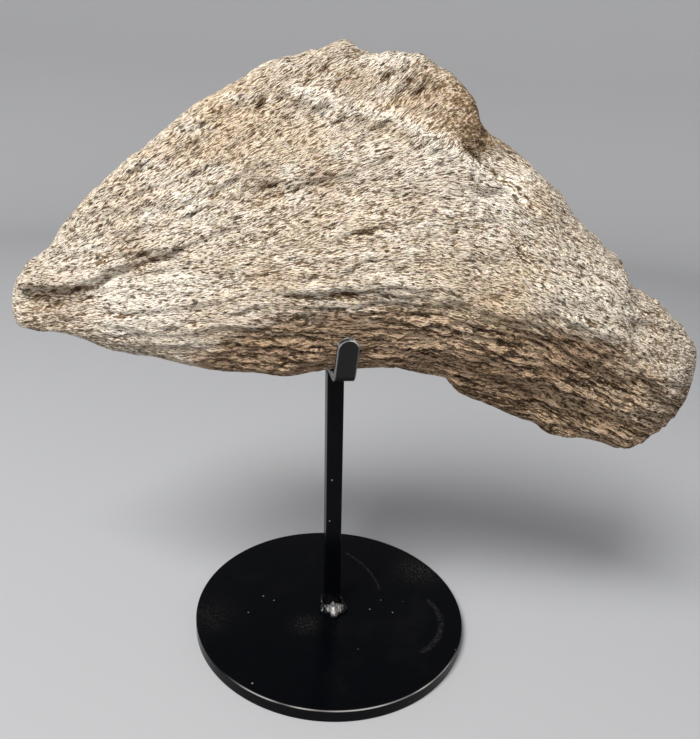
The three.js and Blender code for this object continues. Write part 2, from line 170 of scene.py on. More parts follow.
# Relief along the lines: each has the length over which it fades past its ends, and ridges or
# grooves as [distance above the line, width, height]. The ledge also steps back above its line
LONG_MARKS = [
    (LEDGE_LINE, 10, [[-2, 4, 2.4]]),
    (GROOVE_LINE, 14, [[3, 4, 1.8], [-1.2, 1.7, -2.6], [-7, 7, -1.2]]),
    (RIM_CRACK_LINE, 5, [[-4, 4, 0.8], [0, 1.1, -1.8]]),
    (SPLIT_LINE, 6, [[5, 5, 0.8], [0, 2.2, -1.3]]),
    (VALLEY_LINE, 12, [[0, 6, -2.2]]),
    (BREAK_LINE, 9, [[4, 4, 1.2], [-4, 5, -3.2]]),
    (RIGHT_HOLLOW_LINE, 12, [[0, 5, -2]]),
]
LEDGE_FADE = 10.0
LEDGE_STEP = 5.5
LEDGE_STEP_SPAN = (-0.8, 1.8)
LEDGE_RECOVERY = 22.0

# Painted shade along the crack and in the groove, and a chalky line along the ledge, in the same form
CRACK_SHADE = (RIM_CRACK_LINE, 4, [[0, 0.8, 1.3]])
GROOVE_SHADE = (GROOVE_LINE, 8, [[-1.2, 1.1, 1.3]])
LEDGE_CHALK = (LEDGE_LINE, 6, [[-1.2, 1.7, 1.7]])

# Lumps and pits on the front face as [x, z, radius, height], and those of the back
LUMPS = [
    [46, 257, 12, 5], [-28, 268, 10, 2], [-146, 157, 7, 2.5], [-96, 222, 16, 1.6], [112, 190, 13, 2],
    [-58, 236, 17, 1.4], [70, 222, 13, 1.5], [0, 205, 20, 1.4], [-100, 160, 15, 1.6],
    [146, 148, 10, 2], [-39, 253, 4, -1.2], [-36, 224, 5, -1.2], [-14, 224, 5, -1.4],
    [-92, 191, 6, -1.4], [-49, 199, 5, -1], [-116, 168, 9, -1.4], [-136, 165, 7, -1.8],
    [24, 262, 9, -1.6], [86, 180, 5, -2], [130, 172, 6, -2],
]
BACK_LUMPS = [
    [-80, 190, 34, 2.4], [20, 235, 30, -2.5], [70, 180, 30, 2.8], [-30, 175, 22, -1.8],
    [120, 150, 20, -1.6], [-120, 172, 14, -1.4], [-20, 262, 14, 1.8], [105, 195, 12, 1.5],
]

# Broad grain: parallel ridges that arch over a point right of the middle
GRAIN_APEX = 45.0
GRAIN_SLOPE = 0.62
GRAIN_ROUNDING = 40.0
GRAIN_FLOOR = 142.0
GRAIN_RISE = 90.0
GRAIN_PITCH = 14.5
GRAIN_HEIGHT = 0.4
GRAIN_SWAY = (0.25, 19.0)
FINE_GRAIN_SWAY = (0.3, 31.0)
FINE_GRAIN_RATIO = 1.7
FINE_GRAIN_SHARE = 0.35

# Rows of broad flakes below the brow, waved as [share of the pitch, wave length]
FLAKE_PITCH = 11.0
FLAKE_HEIGHT = 1.3
FLAKE_WAVES = [[0.35, 46], [0.2, 17]]
FLAKE_PEAK = 0.75
FLAKE_SHARE = 0.75

# Direction of the fibres as [x, z, degrees above the x axis], how far each place reaches, and the
# steps of angle in which the patterns are turned
FIBRES = [
    [-145, 165, 9], [-118, 205, 38], [-109, 177, 18], [-78, 236, 38], [-62, 225, 33], [-50, 260, 38],
    [-24, 265, 36], [16, 264, 48], [32, 252, 44], [-20, 240, 31], [10, 240, 27], [-23, 218, 20],
    [15, 222, 14], [41, 216, 0], [58, 236, -16], [68, 223, -24], [80, 209, -25], [93, 190, -26],
    [118, 172, -26], [131, 163, -28], [53, 194, -11], [-75, 168, 7], [-23, 170, 4], [20, 170, 0],
    [66, 145, -14], [118, 135, -21], [-44, 153, 5], [0, 155, 0], [-100, 152, 2],
]
FIBRE_REACH = 12.0
TURN_STEP = math.radians(12)
TURN_BLEND = (0.35, 0.65)

# Sizes of the relief's waves and cells, along, across and through the fibres
BUNDLE_SIZE = (26, 5, 5)
FIBRE_SIZE = (10, 2.3, 2.3)
PORE_SIZE = (7, 2.4, 2.4)
SHINGLE_SIZE = (19, 3.7, 3.7)
GRIT_SIZE = 2.1
RAGGED_SIZE = 3.1

# Unevenness as [wave length, shift of the seed, share], then the heights of the parts of the
# relief: how far shingles tilt and stand apart, and what is left of them above the brow
UNEVEN_WAVES = [[24, 20, 1.0], [11, 30, 0.5]]
UNEVEN_HEIGHT = 0.7
GRIT_HEIGHT = 0.25
SLIT_HEIGHT = 0.7
SHINGLE_TILT = -1.1
SHINGLE_APART = 0.8
SHINGLE_REST = 0.12

# Depths over which the front's marks fade towards the back
FRONT_FADE = (-2, 3)

# Layers of the colour's pattern: repeats per millimetre along, through and across the fibres, and
# the shift that sets each layer apart
FIBRE_LAYER = ((0.22, 1.0, 0.95), (0, 0, 0))
THREAD_LAYER = ((0.4, 1.0, 1.75), (5, 5, 5))
SLIVER_LAYER = ((0.07, 1.0, 0.42), (2, 8, 5))
SCALE_LAYER = ((0.1, 1.0, 0.56), (3, 3, 3))
SMALL_PORE_LAYER = ((0.25, 1.0, 0.95), (1, 4, 9))
LARGE_PORE_LAYER = ((0.18, 1.0, 0.5), (8, 2, 6))

# Patterns over tens of millimetres, in the same form along x, y and z
EDGE_LAYER = ((0.045, 0.14, 0.14), (6, 30, 2))
DRIFT_LAYER = ((0.02, 0.05, 0.05), (0, 0, 0))
PATCH_LAYER = ((0.05, 0.13, 0.13), (40, 7, 3))
TINT_LAYER = ((0.4, 0.8, 0.8), (3, 90, 20))
WARP_LAYER = ((0.12, 1.0, 0.2), (9, 1, 4))
WARP_REACH = (2.0, 2.0, 2.0)

# Steps in the bone's looks, each from where it starts to where it is full: small pores, the share
# of cells with a large pore and the reach of those, painted shade in crevices, the deepest of it,
# painted highlights on ridges, and the change to brown bone, which is partly painted shade
SMALL_PORES = (0.62, 0.68)
OPEN_CELLS = (0.91, 0.995)
LARGE_PORES = (0.34, 0.2)
CREVICE_SHADE_STEP = (0.492, 0.435)
DEEP_SHADE_STEP = (0.395, 0.31)
RIDGE_HIGHLIGHT_STEP = (0.51, 0.56)
UNDER_STEP = (0.2, 0.85)

# The same for tan drifts and chalky patches, each with its least and largest share
TAN_DRIFTS = (0.5, 0.72, 0.0, 0.6)
CHALK_PATCHES = (0.52, 0.7, 0.0, 0.75)

# Strengths above and below the brow: how far a hollow's painted shade lowers the weave, and the
# mottled tint
HOLLOW_SHADE_DROP = (-0.075, -0.1)
TINT_SHARES = (0.32, 0.2)

# Painted highlights: how much lighter ridges are, and those below the brow once more
RIDGE_HIGHLIGHT = (1.24, 1.24, 1.24)
UNDER_RIDGE_HIGHLIGHT = (1.2, 1.17, 1.15)

# Open slits along the grain as [x, z, half length, half width, depth]
SLITS = [
    [-17, 226, 8, 1.6, 3.5], [-29, 221, 7, 1.6, 3], [-36, 223, 4, 1.5, 2.5], [-50, 234, 3.5, 1.3, 2.5],
    [-65, 211, 4, 1.3, 2.2], [-51, 199, 3, 2.2, 3], [-43, 192, 3.5, 1.5, 2.8], [-15, 214, 4, 1.8, 2.5],
    [-13, 190, 9, 2.6, 3.2], [-35, 196, 7, 2, 2], [7, 209, 5, 1.5, 2.5], [1, 208, 6, 1.5, 2.2],
    [-10, 235, 7, 2, 2.4], [9, 269, 4, 2.2, 3], [-10, 265, 4, 2.4, 2.2], [23, 264, 5, 1.6, 2.6],
    [27, 251, 6, 1.8, 2.8], [32, 251, 4, 1.6, 2.4], [-7, 251, 2, 1.4, 2], [5, 249, 2.4, 1.6, 2.2],
    [-8, 237, 9, 1.2, 2], [12, 238, 3, 1.3, 2], [24, 244, 4, 1.3, 2], [101, 177, 7, 2, 3],
    [90, 176, 8, 2, 2.4], [105, 183, 4, 1.5, 2], [114, 184, 5, 1.6, 2.2], [47, 179, 9, 2, 2.6],
    [58, 171, 14, 2.4, 3], [69, 164, 12, 1.8, 2.4], [94, 150, 12, 1.5, 2.2], [105, 138, 12, 1.6, 2.6],
    [93, 131, 12, 2.2, 2.4], [114, 125, 14, 2, 2.6], [73, 131, 8, 1.6, 2], [139, 164, 5, 1.6, 2.2],
    [-41, 254, 3, 2.2, 3.2], [-89, 192, 6, 1.6, 2.4], [-92, 190, 4, 2, 2.4], [-95, 194, 3, 1.6, 2],
    [-119, 169, 10, 3.5, 2.2], [-138, 168, 9, 4, 2.4], [8, 182, 16, 2.4, 3], [1, 183, 8, 1.6, 2.4],
    [26, 175, 8, 1.6, 2], [-21, 180, 12, 1.6, 2], [-42, 171, 9, 1.5, 2], [-61, 166, 9, 1.4, 2],
    [-47, 155, 8, 1.4, 2], [-25, 160, 9, 1.4, 2],
]

# How brown and flaky the face is below the brow, as [x, share], the brown being partly painted
# shade, how far that fades in below and above the brow, and what the back has of it
UNDER_SHARE = [
    [-154.5, 0.1], [-110, 0.2], [-80, 0.4], [-50, 0.85], [-20, 1], [135, 1], [152, 0.75], [164, 0.6],
]
UNDER_FADE = (0.2, 0.06)
UNDER_BACK = 0.4

# Places where the bone is spongy, as [x, z, radius, strength]
SPONGY_PLACES = [
    [44, 262, 9, 1.0], [41, 252, 9, 1.0], [50, 247, 7, 0.8], [30, 268, 8, 0.5], [-140, 156, 9, 0.5],
    [-118, 151, 8, 0.6], [-98, 150, 9, 0.4], [158, 152, 9, 0.4], [150, 140, 9, 0.4],
]

# Stains as [x, z, radius, strength]: brown hollows, whose brown is partly painted shade, chalky
# patches and tan patches
BROWN_STAINS_AND_SHADE = [
    [22, 263, 9, 0.55], [-6, 264, 8, 0.5], [42, 254, 9, 0.45], [50, 246, 6, 0.5], [-36, 223, 8, 0.4],
    [-14, 225, 9, 0.5], [24, 224, 9, 0.4], [-92, 191, 9, 0.5], [-128, 168, 14, 0.5],
    [96, 166, 12, 0.3], [-60, 170, 14, 0.3], [60, 140, 20, 0.3],
]
CHALK_STAINS = [
    [30, 236, 14, 0.8], [56, 226, 12, 0.8], [-12, 258, 8, 0.9], [12, 275, 10, 0.9], [-24, 222, 9, 0.7],
    [105, 182, 18, 0.7], [84, 192, 16, 0.5], [-100, 172, 18, 0.9], [-75, 178, 18, 0.8],
    [150, 152, 12, 0.7], [146, 136, 12, 0.6], [-150, 166, 9, 0.5], [4, 240, 12, 0.4],
    [-68, 216, 20, 0.5], [-128, 182, 14, 0.4],
]
TAN_STAINS = [
    [-52, 248, 20, 0.8], [60, 180, 22, 0.6], [74, 172, 16, 0.6], [116, 133, 24, 1.0],
    [138, 140, 18, 0.8], [34, 171, 14, 0.5], [14, 263, 16, 0.7], [45, 257, 13, 1.0],
    [-20, 240, 14, 0.5], [-88, 214, 16, 0.3],
]

# Painted shade in the hollows between flakes as [x, z, radius, strength]
FLAKE_HOLLOW_SHADE = [
    [60, 134, 10, 0.9], [75, 128, 10, 0.9], [90, 124, 9, 0.8], [105, 118, 8, 0.5],
    [118, 115, 8, 0.4], [100, 146, 10, 0.25],
]

# Place on the front, as [x, z] and radius, where the prong bears and the relief is slight
BEARING = (2.0, 156.0)
BEARING_RADIUS = 16.0
BEARING_CALM = 0.85

# Zone beside the strip where the fine relief dies away: distances to the side, and heights in
# front and behind
STRIP_SIDE = (6, 13)
PRONG_HEIGHTS = (168, 182)
ARM_HEIGHTS = (190, 204)
PRONG_DEPTH = -8

# Share of the fine relief that goes beside the strip, and where it comes in from tips and edges
STRIP_CALM = 0.9
TIP_COMES = (-1, 9)
EDGE_COMES = (0, 7)
EDGE_REST = 0.45

# Chips along the crest as [spacing, seed, low, high, share], their depth and how far down they go
CREST_CHIPS = [[4.6, 7, -0.3, 0.35, 1.0], [2.1, 8, 0, 0.5, 0.6]]
CHIP_DEPTH = 0.9
CHIP_REACH = 3.5

# Studio in metres: place and side of each light, the point they look at, and the radius of the
# floor's upward curve and its height
KEY_PLACE = (-0.7, -1.05, 1.92)
KEY_SIDE = 1.1
FILL_PLACE = (1.3, -1.1, 0.8)
FILL_SIDE = 1.0
LIGHT_TARGET = (0, 0, 0.19)
FLOOR_BEND = 0.35
FLOOR_HEIGHT = 0.9


def count_property(name, description, default, smallest=0):
    return bpy.props.IntProperty(name=name, description=description, default=default, min=smallest)


def length_property(name, description, millimetres):
    return bpy.props.FloatProperty(
        name=name, description=description, default=millimetres * MM, unit="LENGTH")


def colour_property(name, description, default):
    return bpy.props.FloatVectorProperty(
        name=name, description=description, default=default, subtype="COLOR")


def angle_property(name, description, degrees):
    return bpy.props.FloatProperty(
        name=name, description=description, default=math.radians(degrees), subtype="ANGLE")


def power_property(name, description, watts):
    return bpy.props.FloatProperty(name=name, description=description, default=watts, unit="POWER")


class BoneSettings(bpy.types.PropertyGroup):
    """Sizes and colours of the bone"""

    columns: count_property("Columns", "Steps along the bone from tip to tip", 318, 40)
    front_rows: count_property("Front Rows", "Steps up the front face", 206, 20)
    back_rows: count_property("Back Rows", "Steps down the back face", 100, 20)
    seed: count_property("Seed", "Start of the random numbers", 11)
    fibre_height: length_property("Fibre Height", "How far the bundles of fibres stand out", 0.68)
    flake_height: length_property("Flake Height", "How far the flakes below the brow overlap", 1.5)
    pit_depth: length_property("Pit Depth", "Depth of the larger open pores", 1.0)
    cream: colour_property("Cream", "Colour of the weathered surface", (0.67, 0.575, 0.455))
    chalk: colour_property("Chalk", "Colour of the whitest ridges", (0.81, 0.75, 0.645))
    tan: colour_property("Tan", "Colour of the yellow patches", (0.56, 0.40, 0.24))
    # Partly the bone's own brown, partly painted shade on the face turned under
    brown: colour_property("Brown", "Colour of the flakes below the brow", (0.325, 0.2, 0.112))
    # Painted shade between the fibres
    crevice_shade: colour_property("Crevice", "Colour between the fibres", (0.195, 0.118, 0.056))
    # Painted shade in pores and cracks, with the dark of sediment in the pores
    pore: colour_property("Pore", "Colour inside the pores and cracks", (0.045, 0.026, 0.015))


class StandSettings(bpy.types.PropertyGroup):
    """Sizes and colours of the steel stand"""

    plate_diameter: length_property("Plate Diameter", "Diameter of the base plate", 140)
    plate_thickness: length_property("Plate Thickness", "Thickness of the base plate", 6.4)
    rim_radius: length_property("Rim Radius", "Radius that rounds both rims of the plate", 0.6)
    bar_side: length_property("Bar Side", "Width of the square bar", 8)
    bar_corner: length_property("Bar Corner", "Radius of the bar's corners", 0.8)
    strip_width: length_property("Strip Width", "Width of the strip that holds the bone", 9.5)
    strip_corner: length_property("Strip Corner", "Radius of the strip's edges", 0.55)
    # Near black, with a blue tint that is a painted reflection of the room
    paint: colour_property("Paint", "Colour of the gloss paint", (0.0012, 0.0014, 0.002))
    # Also the colour of the painted highlight along the front of the plate's rim
    steel: colour_property("Steel", "Colour of worn and scraped steel", (0.42, 0.41, 0.39))
    dust: colour_property("Dust", "Colour of the bone dust on the paint", (0.27, 0.25, 0.22))


class StageSettings(bpy.types.PropertyGroup):
    """Floor, light and camera"""

    floor: colour_property("Floor", "Colour of the floor", (0.37, 0.37, 0.375))
    sky: colour_property("Sky", "Colour of the room above the floor", (0.16, 0.165, 0.175))
    floor_reach: length_property(
        "Floor Reach", "Distance at which the floor starts to curve up", 1200)
    key_power: power_property("Key Power", "Power of the large soft light", 84)
    fill_power: power_property("Fill Power", "Power of the weak light from the right", 3)
    camera_place: bpy.props.FloatVectorProperty(
        name="Camera Place", description="Place of the camera", subtype="XYZ", unit="LENGTH",
        default=(0.0, -308 * MM, 253.5 * MM))
    camera_pitch: angle_property("Camera Pitch", "Angle that the camera looks down", 20.0)
    camera_yaw: angle_property("Camera Yaw", "Angle that the camera looks to the right", 0.4)
    camera_roll: angle_property("Camera Roll", "Angle that the camera leans", 3.8)
    focal_share: bpy.props.FloatProperty(
        name="Focal Share", description="Focal length as a share of the picture's long side",
        default=700 / 739)


def along(points, x):
    """Value at each x of a smooth curve through [x, value] points.

    Between two points it is a cubic whose end slopes are those between the points on either side,
    held to twice the slope of the stretch itself.
    """
    px, pv = np.array(points, float).T
    right = np.clip(np.searchsorted(px, x), 1, len(px) - 1)
    left = right - 1
    before = np.maximum(left - 1, 0)
    after = np.minimum(right + 1, len(px) - 1)
    span = px[right] - px[left]
    s = np.clip((x - px[left]) / span, 0, 1)
    limit = 2 * np.abs((pv[right] - pv[left]) / span)
    slope_left = np.clip((pv[right] - pv[before]) / (px[right] - px[before]), -limit, limit) * span
    slope_right = np.clip((pv[after] - pv[left]) / (px[after] - px[left]), -limit, limit) * span
    return ((2 * s**3 - 3 * s**2 + 1) * pv[left] + (s**3 - 2 * s**2 + s) * slope_left
            + (3 * s**2 - 2 * s**3) * pv[right] + (s**3 - s**2) * slope_right)


def round_off(distance, radius):
    """Quarter circle that rises from 0 at an edge to 1 at the given distance from it."""
    s = np.clip(distance / radius, 0, 1)
    return np.sqrt(1 - (1 - s) ** 2)


def bump(distance, width):
    """Bell of height 1: e to the minus square of distance over width."""
    return np.exp(-((distance / width) ** 2))


def ease(value, low, high):
    """0 below low, 1 above high, and the cubic 3s² − 2s³ between them."""
    s = np.clip((value - low) / (high - low), 0, 1)
    return s * s * (3 - 2 * s)


def between(a, b, s):
    """a where s is 0, b where s is 1 and their straight mix in between."""
    return a + (b - a) * s


def from_line(line, x, z, fade_length):
    """Distance of each point to a line of [x, z] points, and a fade past the ends of the line.

    The distance is the shortest to any stretch, positive above the line. The fade is a bell of
    how far the point lies past the end of that stretch.
    """
    side = np.full(np.shape(x), np.inf)
    fade = np.zeros(np.shape(x))
    for (ax, az), (bx, bz) in zip(line, line[1:]):
        length = math.hypot(bx - ax, bz - az)
        s = ((x - ax) * (bx - ax) + (z - az) * (bz - az)) / length**2
        on = np.clip(s, 0, 1)
        distance = np.hypot(x - ax - on * (bx - ax), z - az - on * (bz - az))
        above = np.where((bx - ax) * (z - az) - (bz - az) * (x - ax) > 0, 1.0, -1.0)
        closer = distance < np.abs(side)
        side = np.where(closer, above * distance, side)
        fade = np.where(closer, bump(np.abs(s - on) * length, fade_length), fade)
    return side, fade


def line_mark(mark, x, z):
    """Sum of a mark's ridges, each a bell of the distance to its line, faded past the ends."""
    line, fade_length, ridges = mark
    side, fade = from_line(line, x, z, fade_length)
    return fade * sum(height * bump(side - offset, width) for offset, width, height in ridges)


def spots(places, x, z):
    """Sum of bells, one for each [x, z, radius, height]."""
    total = np.zeros(np.shape(x))
    for place_x, place_z, radius, height in places:
        total += height * bump(np.hypot(x - place_x, z - place_z), radius)
    return total


def hashed(cell, seed):
    """Random number from 0 to 1 for each whole-number cell, by mixing the bits of its indices."""
    primes = np.array([374761393, 668265263, 2147483647])
    mixed = (cell @ primes + seed * 1274126177) & 0xFFFFFFFF
    mixed = ((mixed ^ (mixed >> 13)) * 1274126177) & 0xFFFFFFFF
    return ((mixed ^ (mixed >> 16)) & 0xFFFF) / 65535


def noise(points, seed):
    """Smooth noise from −1 to 1: random numbers at the corners of unit cells, eased between them."""
    base = np.floor(points).astype(np.int64)
    part = points - base
    weight = part * part * (3 - 2 * part)
    total = np.zeros(len(points))
    for corner in itertools.product((0, 1), repeat=3):
        share = np.prod(np.where(corner, weight, 1 - weight), axis=1)
        total += share * hashed(base + corner, seed)
    return 2 * total - 1


def nearest_seed(points, seed):
    """Nearest of one random point in each unit cell.

    Returns the distance to it, that cell's own random number, and how far the point lies above
    it along the second coordinate.
    """
    base = np.floor(points).astype(np.int64)
    nearest = np.full(len(points), np.inf)
    number = np.zeros(len(points))
    above = np.zeros(len(points))
    for step in itertools.product((-1, 0, 1), repeat=3):
        cell = base + step
        spot = cell + np.stack([hashed(cell, seed + axis) for axis in range(3)], axis=1)
        distance = np.linalg.norm(points - spot, axis=1)
        closer = distance < nearest
        number = np.where(closer, hashed(cell, seed + 3), number)
        above = np.where(closer, points[:, 1] - spot[:, 1], above)
        nearest = np.where(closer, distance, nearest)
    return nearest, number, above


def fibre_angle(x, z):
    """Direction of the fibres above the x axis: mean of FIBRES, weighted by nearness to each."""
    total = np.zeros(np.shape(x))
    weights = np.zeros(np.shape(x))
    for place_x, place_z, degrees in FIBRES:
        away = ((x - place_x) ** 2 + (z - place_z) ** 2) / FIBRE_REACH**2
        weight = 1 / (1 + away) ** 2
        total += weight * math.radians(degrees)
        weights += weight
    return total / weights


def unwrapped(points, middle):
    """Places on the bone's skin laid flat, as (x, 0, length round the ring).

    The length is that of the straight steps round each ring, counted from its middle row on the
    front, and equals z there.
    """
    steps = np.linalg.norm(np.diff(points[..., 1:], axis=1), axis=2)
    length = np.concatenate([np.zeros((len(points), 1)), np.cumsum(steps, axis=1)], axis=1)
    length += points[:, middle, 2][:, None] - length[:, middle][:, None]
    return np.stack([points[..., 0], np.zeros(length.shape), length], axis=-1)


def laid_along(angle, points, pattern):
    """Pattern of coordinates along, across and through the fibres, laid along them.

    It is worked out twice, turned to the whole steps of angle below and above the fibres' own,
    and the two are mixed.
    """
    level = angle / TURN_STEP
    low = np.floor(level)
    share = ease(level - low, *TURN_BLEND)
    mixed = 0
    for turn, weight in ((low * TURN_STEP, 1 - share), ((low + 1) * TURN_STEP, share)):
        x, y, z = points.T
        lengthwise = x * np.cos(turn) + z * np.sin(turn)
        crosswise = z * np.cos(turn) - x * np.sin(turn)
        mixed = mixed + weight * pattern(np.stack([lengthwise, crosswise, y], axis=1))
    return mixed


def broad_grain(x, z):
    """Ridges that run under an arch: a sine of height plus the arch, with a finer sine on it."""
    lift = np.clip((z - GRAIN_FLOOR) / GRAIN_RISE, 0, 1)
    arch = GRAIN_SLOPE * (np.hypot(x - GRAIN_APEX, GRAIN_ROUNDING) - GRAIN_ROUNDING)
    across = (z + arch * lift) / GRAIN_PITCH + GRAIN_SWAY[0] * np.sin(x / GRAIN_SWAY[1])
    fine_across = FINE_GRAIN_RATIO * across + FINE_GRAIN_SWAY[0] * np.sin(x / FINE_GRAIN_SWAY[1])
    main, fine = np.sin(2 * np.pi * across), np.sin(2 * np.pi * fine_across)
    return GRAIN_HEIGHT * between(main, fine, FINE_GRAIN_SHARE)


def flakes(x, to_lip):
    """Rows of flakes: each row rises slowly upwards and drops off at its upper edge."""
    waves = sum(share * np.sin(2 * np.pi * x / length) for share, length in FLAKE_WAVES)
    row = to_lip / FLAKE_PITCH + waves
    phase = row - np.floor(row)
    return FLAKE_HEIGHT * (ease(phase, 0, FLAKE_PEAK) - ease(phase, FLAKE_PEAK, 1) - 0.5)


def front_relief(x, z, to_lip, under_brow):
    """How far the front stands proud of its plain form: grain, flakes, lumps and long marks."""
    height = between(broad_grain(x, z), flakes(x, to_lip), FLAKE_SHARE * under_brow)
    height = height + spots(LUMPS, x, z) + sum(line_mark(mark, x, z) for mark in LONG_MARKS)
    side, fade = from_line(LEDGE_LINE, x, z, LEDGE_FADE)
    height -= fade * LEDGE_STEP * ease(side, *LEDGE_STEP_SPAN) * bump(side, LEDGE_RECOVERY)
    to_bearing = np.hypot(x - BEARING[0], z - BEARING[1])
    return height * (1 - BEARING_CALM * bump(to_bearing, BEARING_RADIUS))


def plain_front(x, share, brow):
    """Depth of the plain front: out from the lower edge to the brow, then back up to the crest.

    The way out is the parabola s(1.35 − 0.35s), and the way back is s to the power 1.25.
    """
    below = np.clip(share / brow, 0, 1)
    above = np.clip((share - brow) / (1 - brow), 0, 1)
    under = between(along(LOWER_FRONT, x), along(BROW_FRONT, x), below * (1.35 - 0.35 * below))
    over = between(along(BROW_FRONT, x), along(UPPER_FRONT, x), above**1.25)
    return np.where(share < brow, under, over)


def bone_skin(settings):
    """Points of the bone as columns × ring, without and with relief, and how far below the brow.

    A ring runs up the front and down the back of one cut across the bone. Its height is a share
    of the way from lower edge to crest, and its depth is the face's depth, drawn in to the middle
    by quarter circles near the lower edge, the crest and the tips.
    """
    left, right = CREST[0][0], CREST[-1][0]
    near_tip, inset = np.array(NEAR_TIP[:-1]), NEAR_TIP[-1]
    x = np.concatenate([
        left + near_tip,
        np.linspace(left + inset, right - inset, settings.columns - 2 * len(near_tip)),
        right - near_tip[::-1],
    ])[:, None]

    def shares(rows):
        s = np.linspace(0, 1, rows + 1)
        return between(s, (1 - np.cos(np.pi * s)) / 2, 0.5)

    front_shares = shares(settings.front_rows)
    share = np.concatenate([front_shares, shares(settings.back_rows)[1:-1][::-1]])[None, :]
    is_front = (np.arange(share.shape[1]) < len(front_shares))[None, :]

    low = along(LIP, x)
    height = along(CREST, x) - low
    z = low + share * height
    spine = between(along(LIP_DEPTH, x), along(CREST_DEPTH, x), share)
    to_tip = np.minimum(x - left, right - x)
    lip_radius = np.where(is_front, LIP_RADIUS, LIP_BACK_RADIUS)
    rounding = (round_off(share * height, np.minimum(lip_radius, height / 2))
                * round_off((1 - share) * height, np.minimum(CREST_RADIUS, height / 2))
                * round_off(to_tip, TIP_RADIUS))
    brow = along(BROW_HEIGHT, x)
    wide_x = np.broadcast_to(x, z.shape)
    under_brow = 1 - ease(share, brow - UNDER_FADE[0], brow + UNDER_FADE[1])
    under_brow = under_brow * along(UNDER_SHARE, x)
    plain_depth = np.where(is_front, plain_front(wide_x, share, brow), along(BACK_DEPTH, x))
    front = -front_relief(wide_x, z, z - low, under_brow)
    back = broad_grain(-wide_x, z) + spots(BACK_LUMPS, wide_x, z)
    depth = plain_depth + np.where(is_front, front, back)
    plain, points = [
        np.stack([wide_x, between(spine, y, rounding), z], axis=-1) for y in (plain_depth, depth)]
    return plain, points, np.where(is_front, under_brow, UNDER_BACK)


def ring_normals(points):
    """Unit normals of a grid of columns × closed rings, as the cross of its two directions."""
    step_along = np.gradient(points, axis=0)
    step_round = np.roll(points, -1, axis=1) - np.roll(points, 1, axis=1)
    normal = np.cross(step_along, step_round)
    return normal / np.maximum(np.linalg.norm(normal, axis=2, keepdims=True), 1e-9)


def on_front(y):
    """1 on the front of the bone, 0 on its back, and a smooth step of the depth between them."""
    return 1 - ease(y, *FRONT_FADE)


def slits(points, wander):
    """Depth of the front's slits: for each, a bell along its own grain times a bell across it."""
    total = np.zeros(len(points))
    for place_x, place_z, half_length, half_width, depth in SLITS:
        x, z = points[:, 0] - place_x, points[:, 2] - place_z
        angle = float(fibre_angle(place_x, place_z))
        lengthwise = x * math.cos(angle) + z * math.sin(angle)
        crosswise = z * math.cos(angle) - x * math.sin(angle) + wander
        total += depth * bump(lengthwise, half_length) * bump(crosswise, 0.6 * half_width)
    return total * on_front(points[:, 1])


def texture_relief(settings, points, skin, angle, under_brow):
    """Fine relief in millimetres, and the painted shade that each place gets in its hollows.

    It is made of bundles of fibres, thinner fibres, open pores, unevenness and slits. Below the
    brow cells much longer than they are wide rise to their lower edges, as flakes do.
    """
    seed = settings.seed
    fibre_height, flake_height, pit_depth = (
        size / MM for size in (settings.fibre_height, settings.flake_height, settings.pit_depth))

    def pattern(grain):
        bundles = noise(grain / BUNDLE_SIZE, seed)
        fibres = noise(grain / FIBRE_SIZE, seed + 10)
        distance, number, _ = nearest_seed(grain / PORE_SIZE, seed + 40)
        pores = ease(0.5 - distance, 0, 0.3) * ease(number, 0.62, 0.95)
        bent = grain + 1.5 * np.stack([bundles, fibres, bundles], axis=1)
        _, lift, above = nearest_seed(bent / SHINGLE_SIZE, seed + 50)
        return np.stack([bundles, fibres, pores, lift, above])

    bundles, fibres, pores, lift, above = laid_along(angle, skin, pattern)
    pores = pores * (1 - 0.6 * under_brow)
    uneven = sum(share * noise(points / size, seed + shift) for size, shift, share in UNEVEN_WAVES)
    grit = noise(points / GRIT_SIZE, seed + 70)
    shingles = flake_height * (SHINGLE_TILT * above + SHINGLE_APART * (lift - 0.5))
    shingles = shingles * between(SHINGLE_REST, 1, under_brow)
    ragged = ease(noise(points / RAGGED_SIZE, seed + 60) + 0.6 * fibres, -0.5, 0.4)
    open_slits = slits(points, 0.9 * bundles + 0.7 * fibres) * between(0.25, 1, ragged)
    relief = (fibre_height * (0.6 * bundles + 0.9 * fibres) + UNEVEN_HEIGHT * uneven
              + GRIT_HEIGHT * grit - pit_depth * pores + shingles - SLIT_HEIGHT * open_slits)
    # Painted shade in hollows: under each flake's upper edge, in the gaps between fibres, in pores and
    # in slits
    hollows = ease(above, 0.12, 0.42) * under_brow
    gaps = ease(-(0.3 * bundles + fibres), 0.45, 1.25) * (1 - 0.5 * under_brow)
    return relief, np.maximum.reduce([0.8 * pores, gaps, hollows, 1.4 * ease(open_slits, 0.3, 2)])


def near_strip(points):
    """1 beside the strip of the stand and 0 away from it, so that the bone keeps clear of it."""
    sideways = ((points[:, 0] - POST_TOP_X) * math.cos(STAND_TURN)
                + (points[:, 1] - POST_FOOT[1]) * math.sin(STAND_TURN))
    beside = 1 - ease(np.abs(sideways), *STRIP_SIDE)
    low = 1 - np.where(points[:, 1] < PRONG_DEPTH, ease(points[:, 2], *PRONG_HEIGHTS),
                       ease(points[:, 2], *ARM_HEIGHTS))
    return beside * low


def calm(points):
    """Share of the fine relief at each place: less near the edges, the tips and the strip."""
    x, _, z = points.T
    to_tip = np.minimum(x - CREST[0][0], CREST[-1][0] - x)
    to_edge = np.minimum(z - along(LIP, x), along(CREST, x) - z)
    return ((1 - STRIP_CALM * near_strip(points)) * ease(to_tip, *TIP_COMES)
            * between(EDGE_REST, 1, ease(to_edge, *EDGE_COMES)))


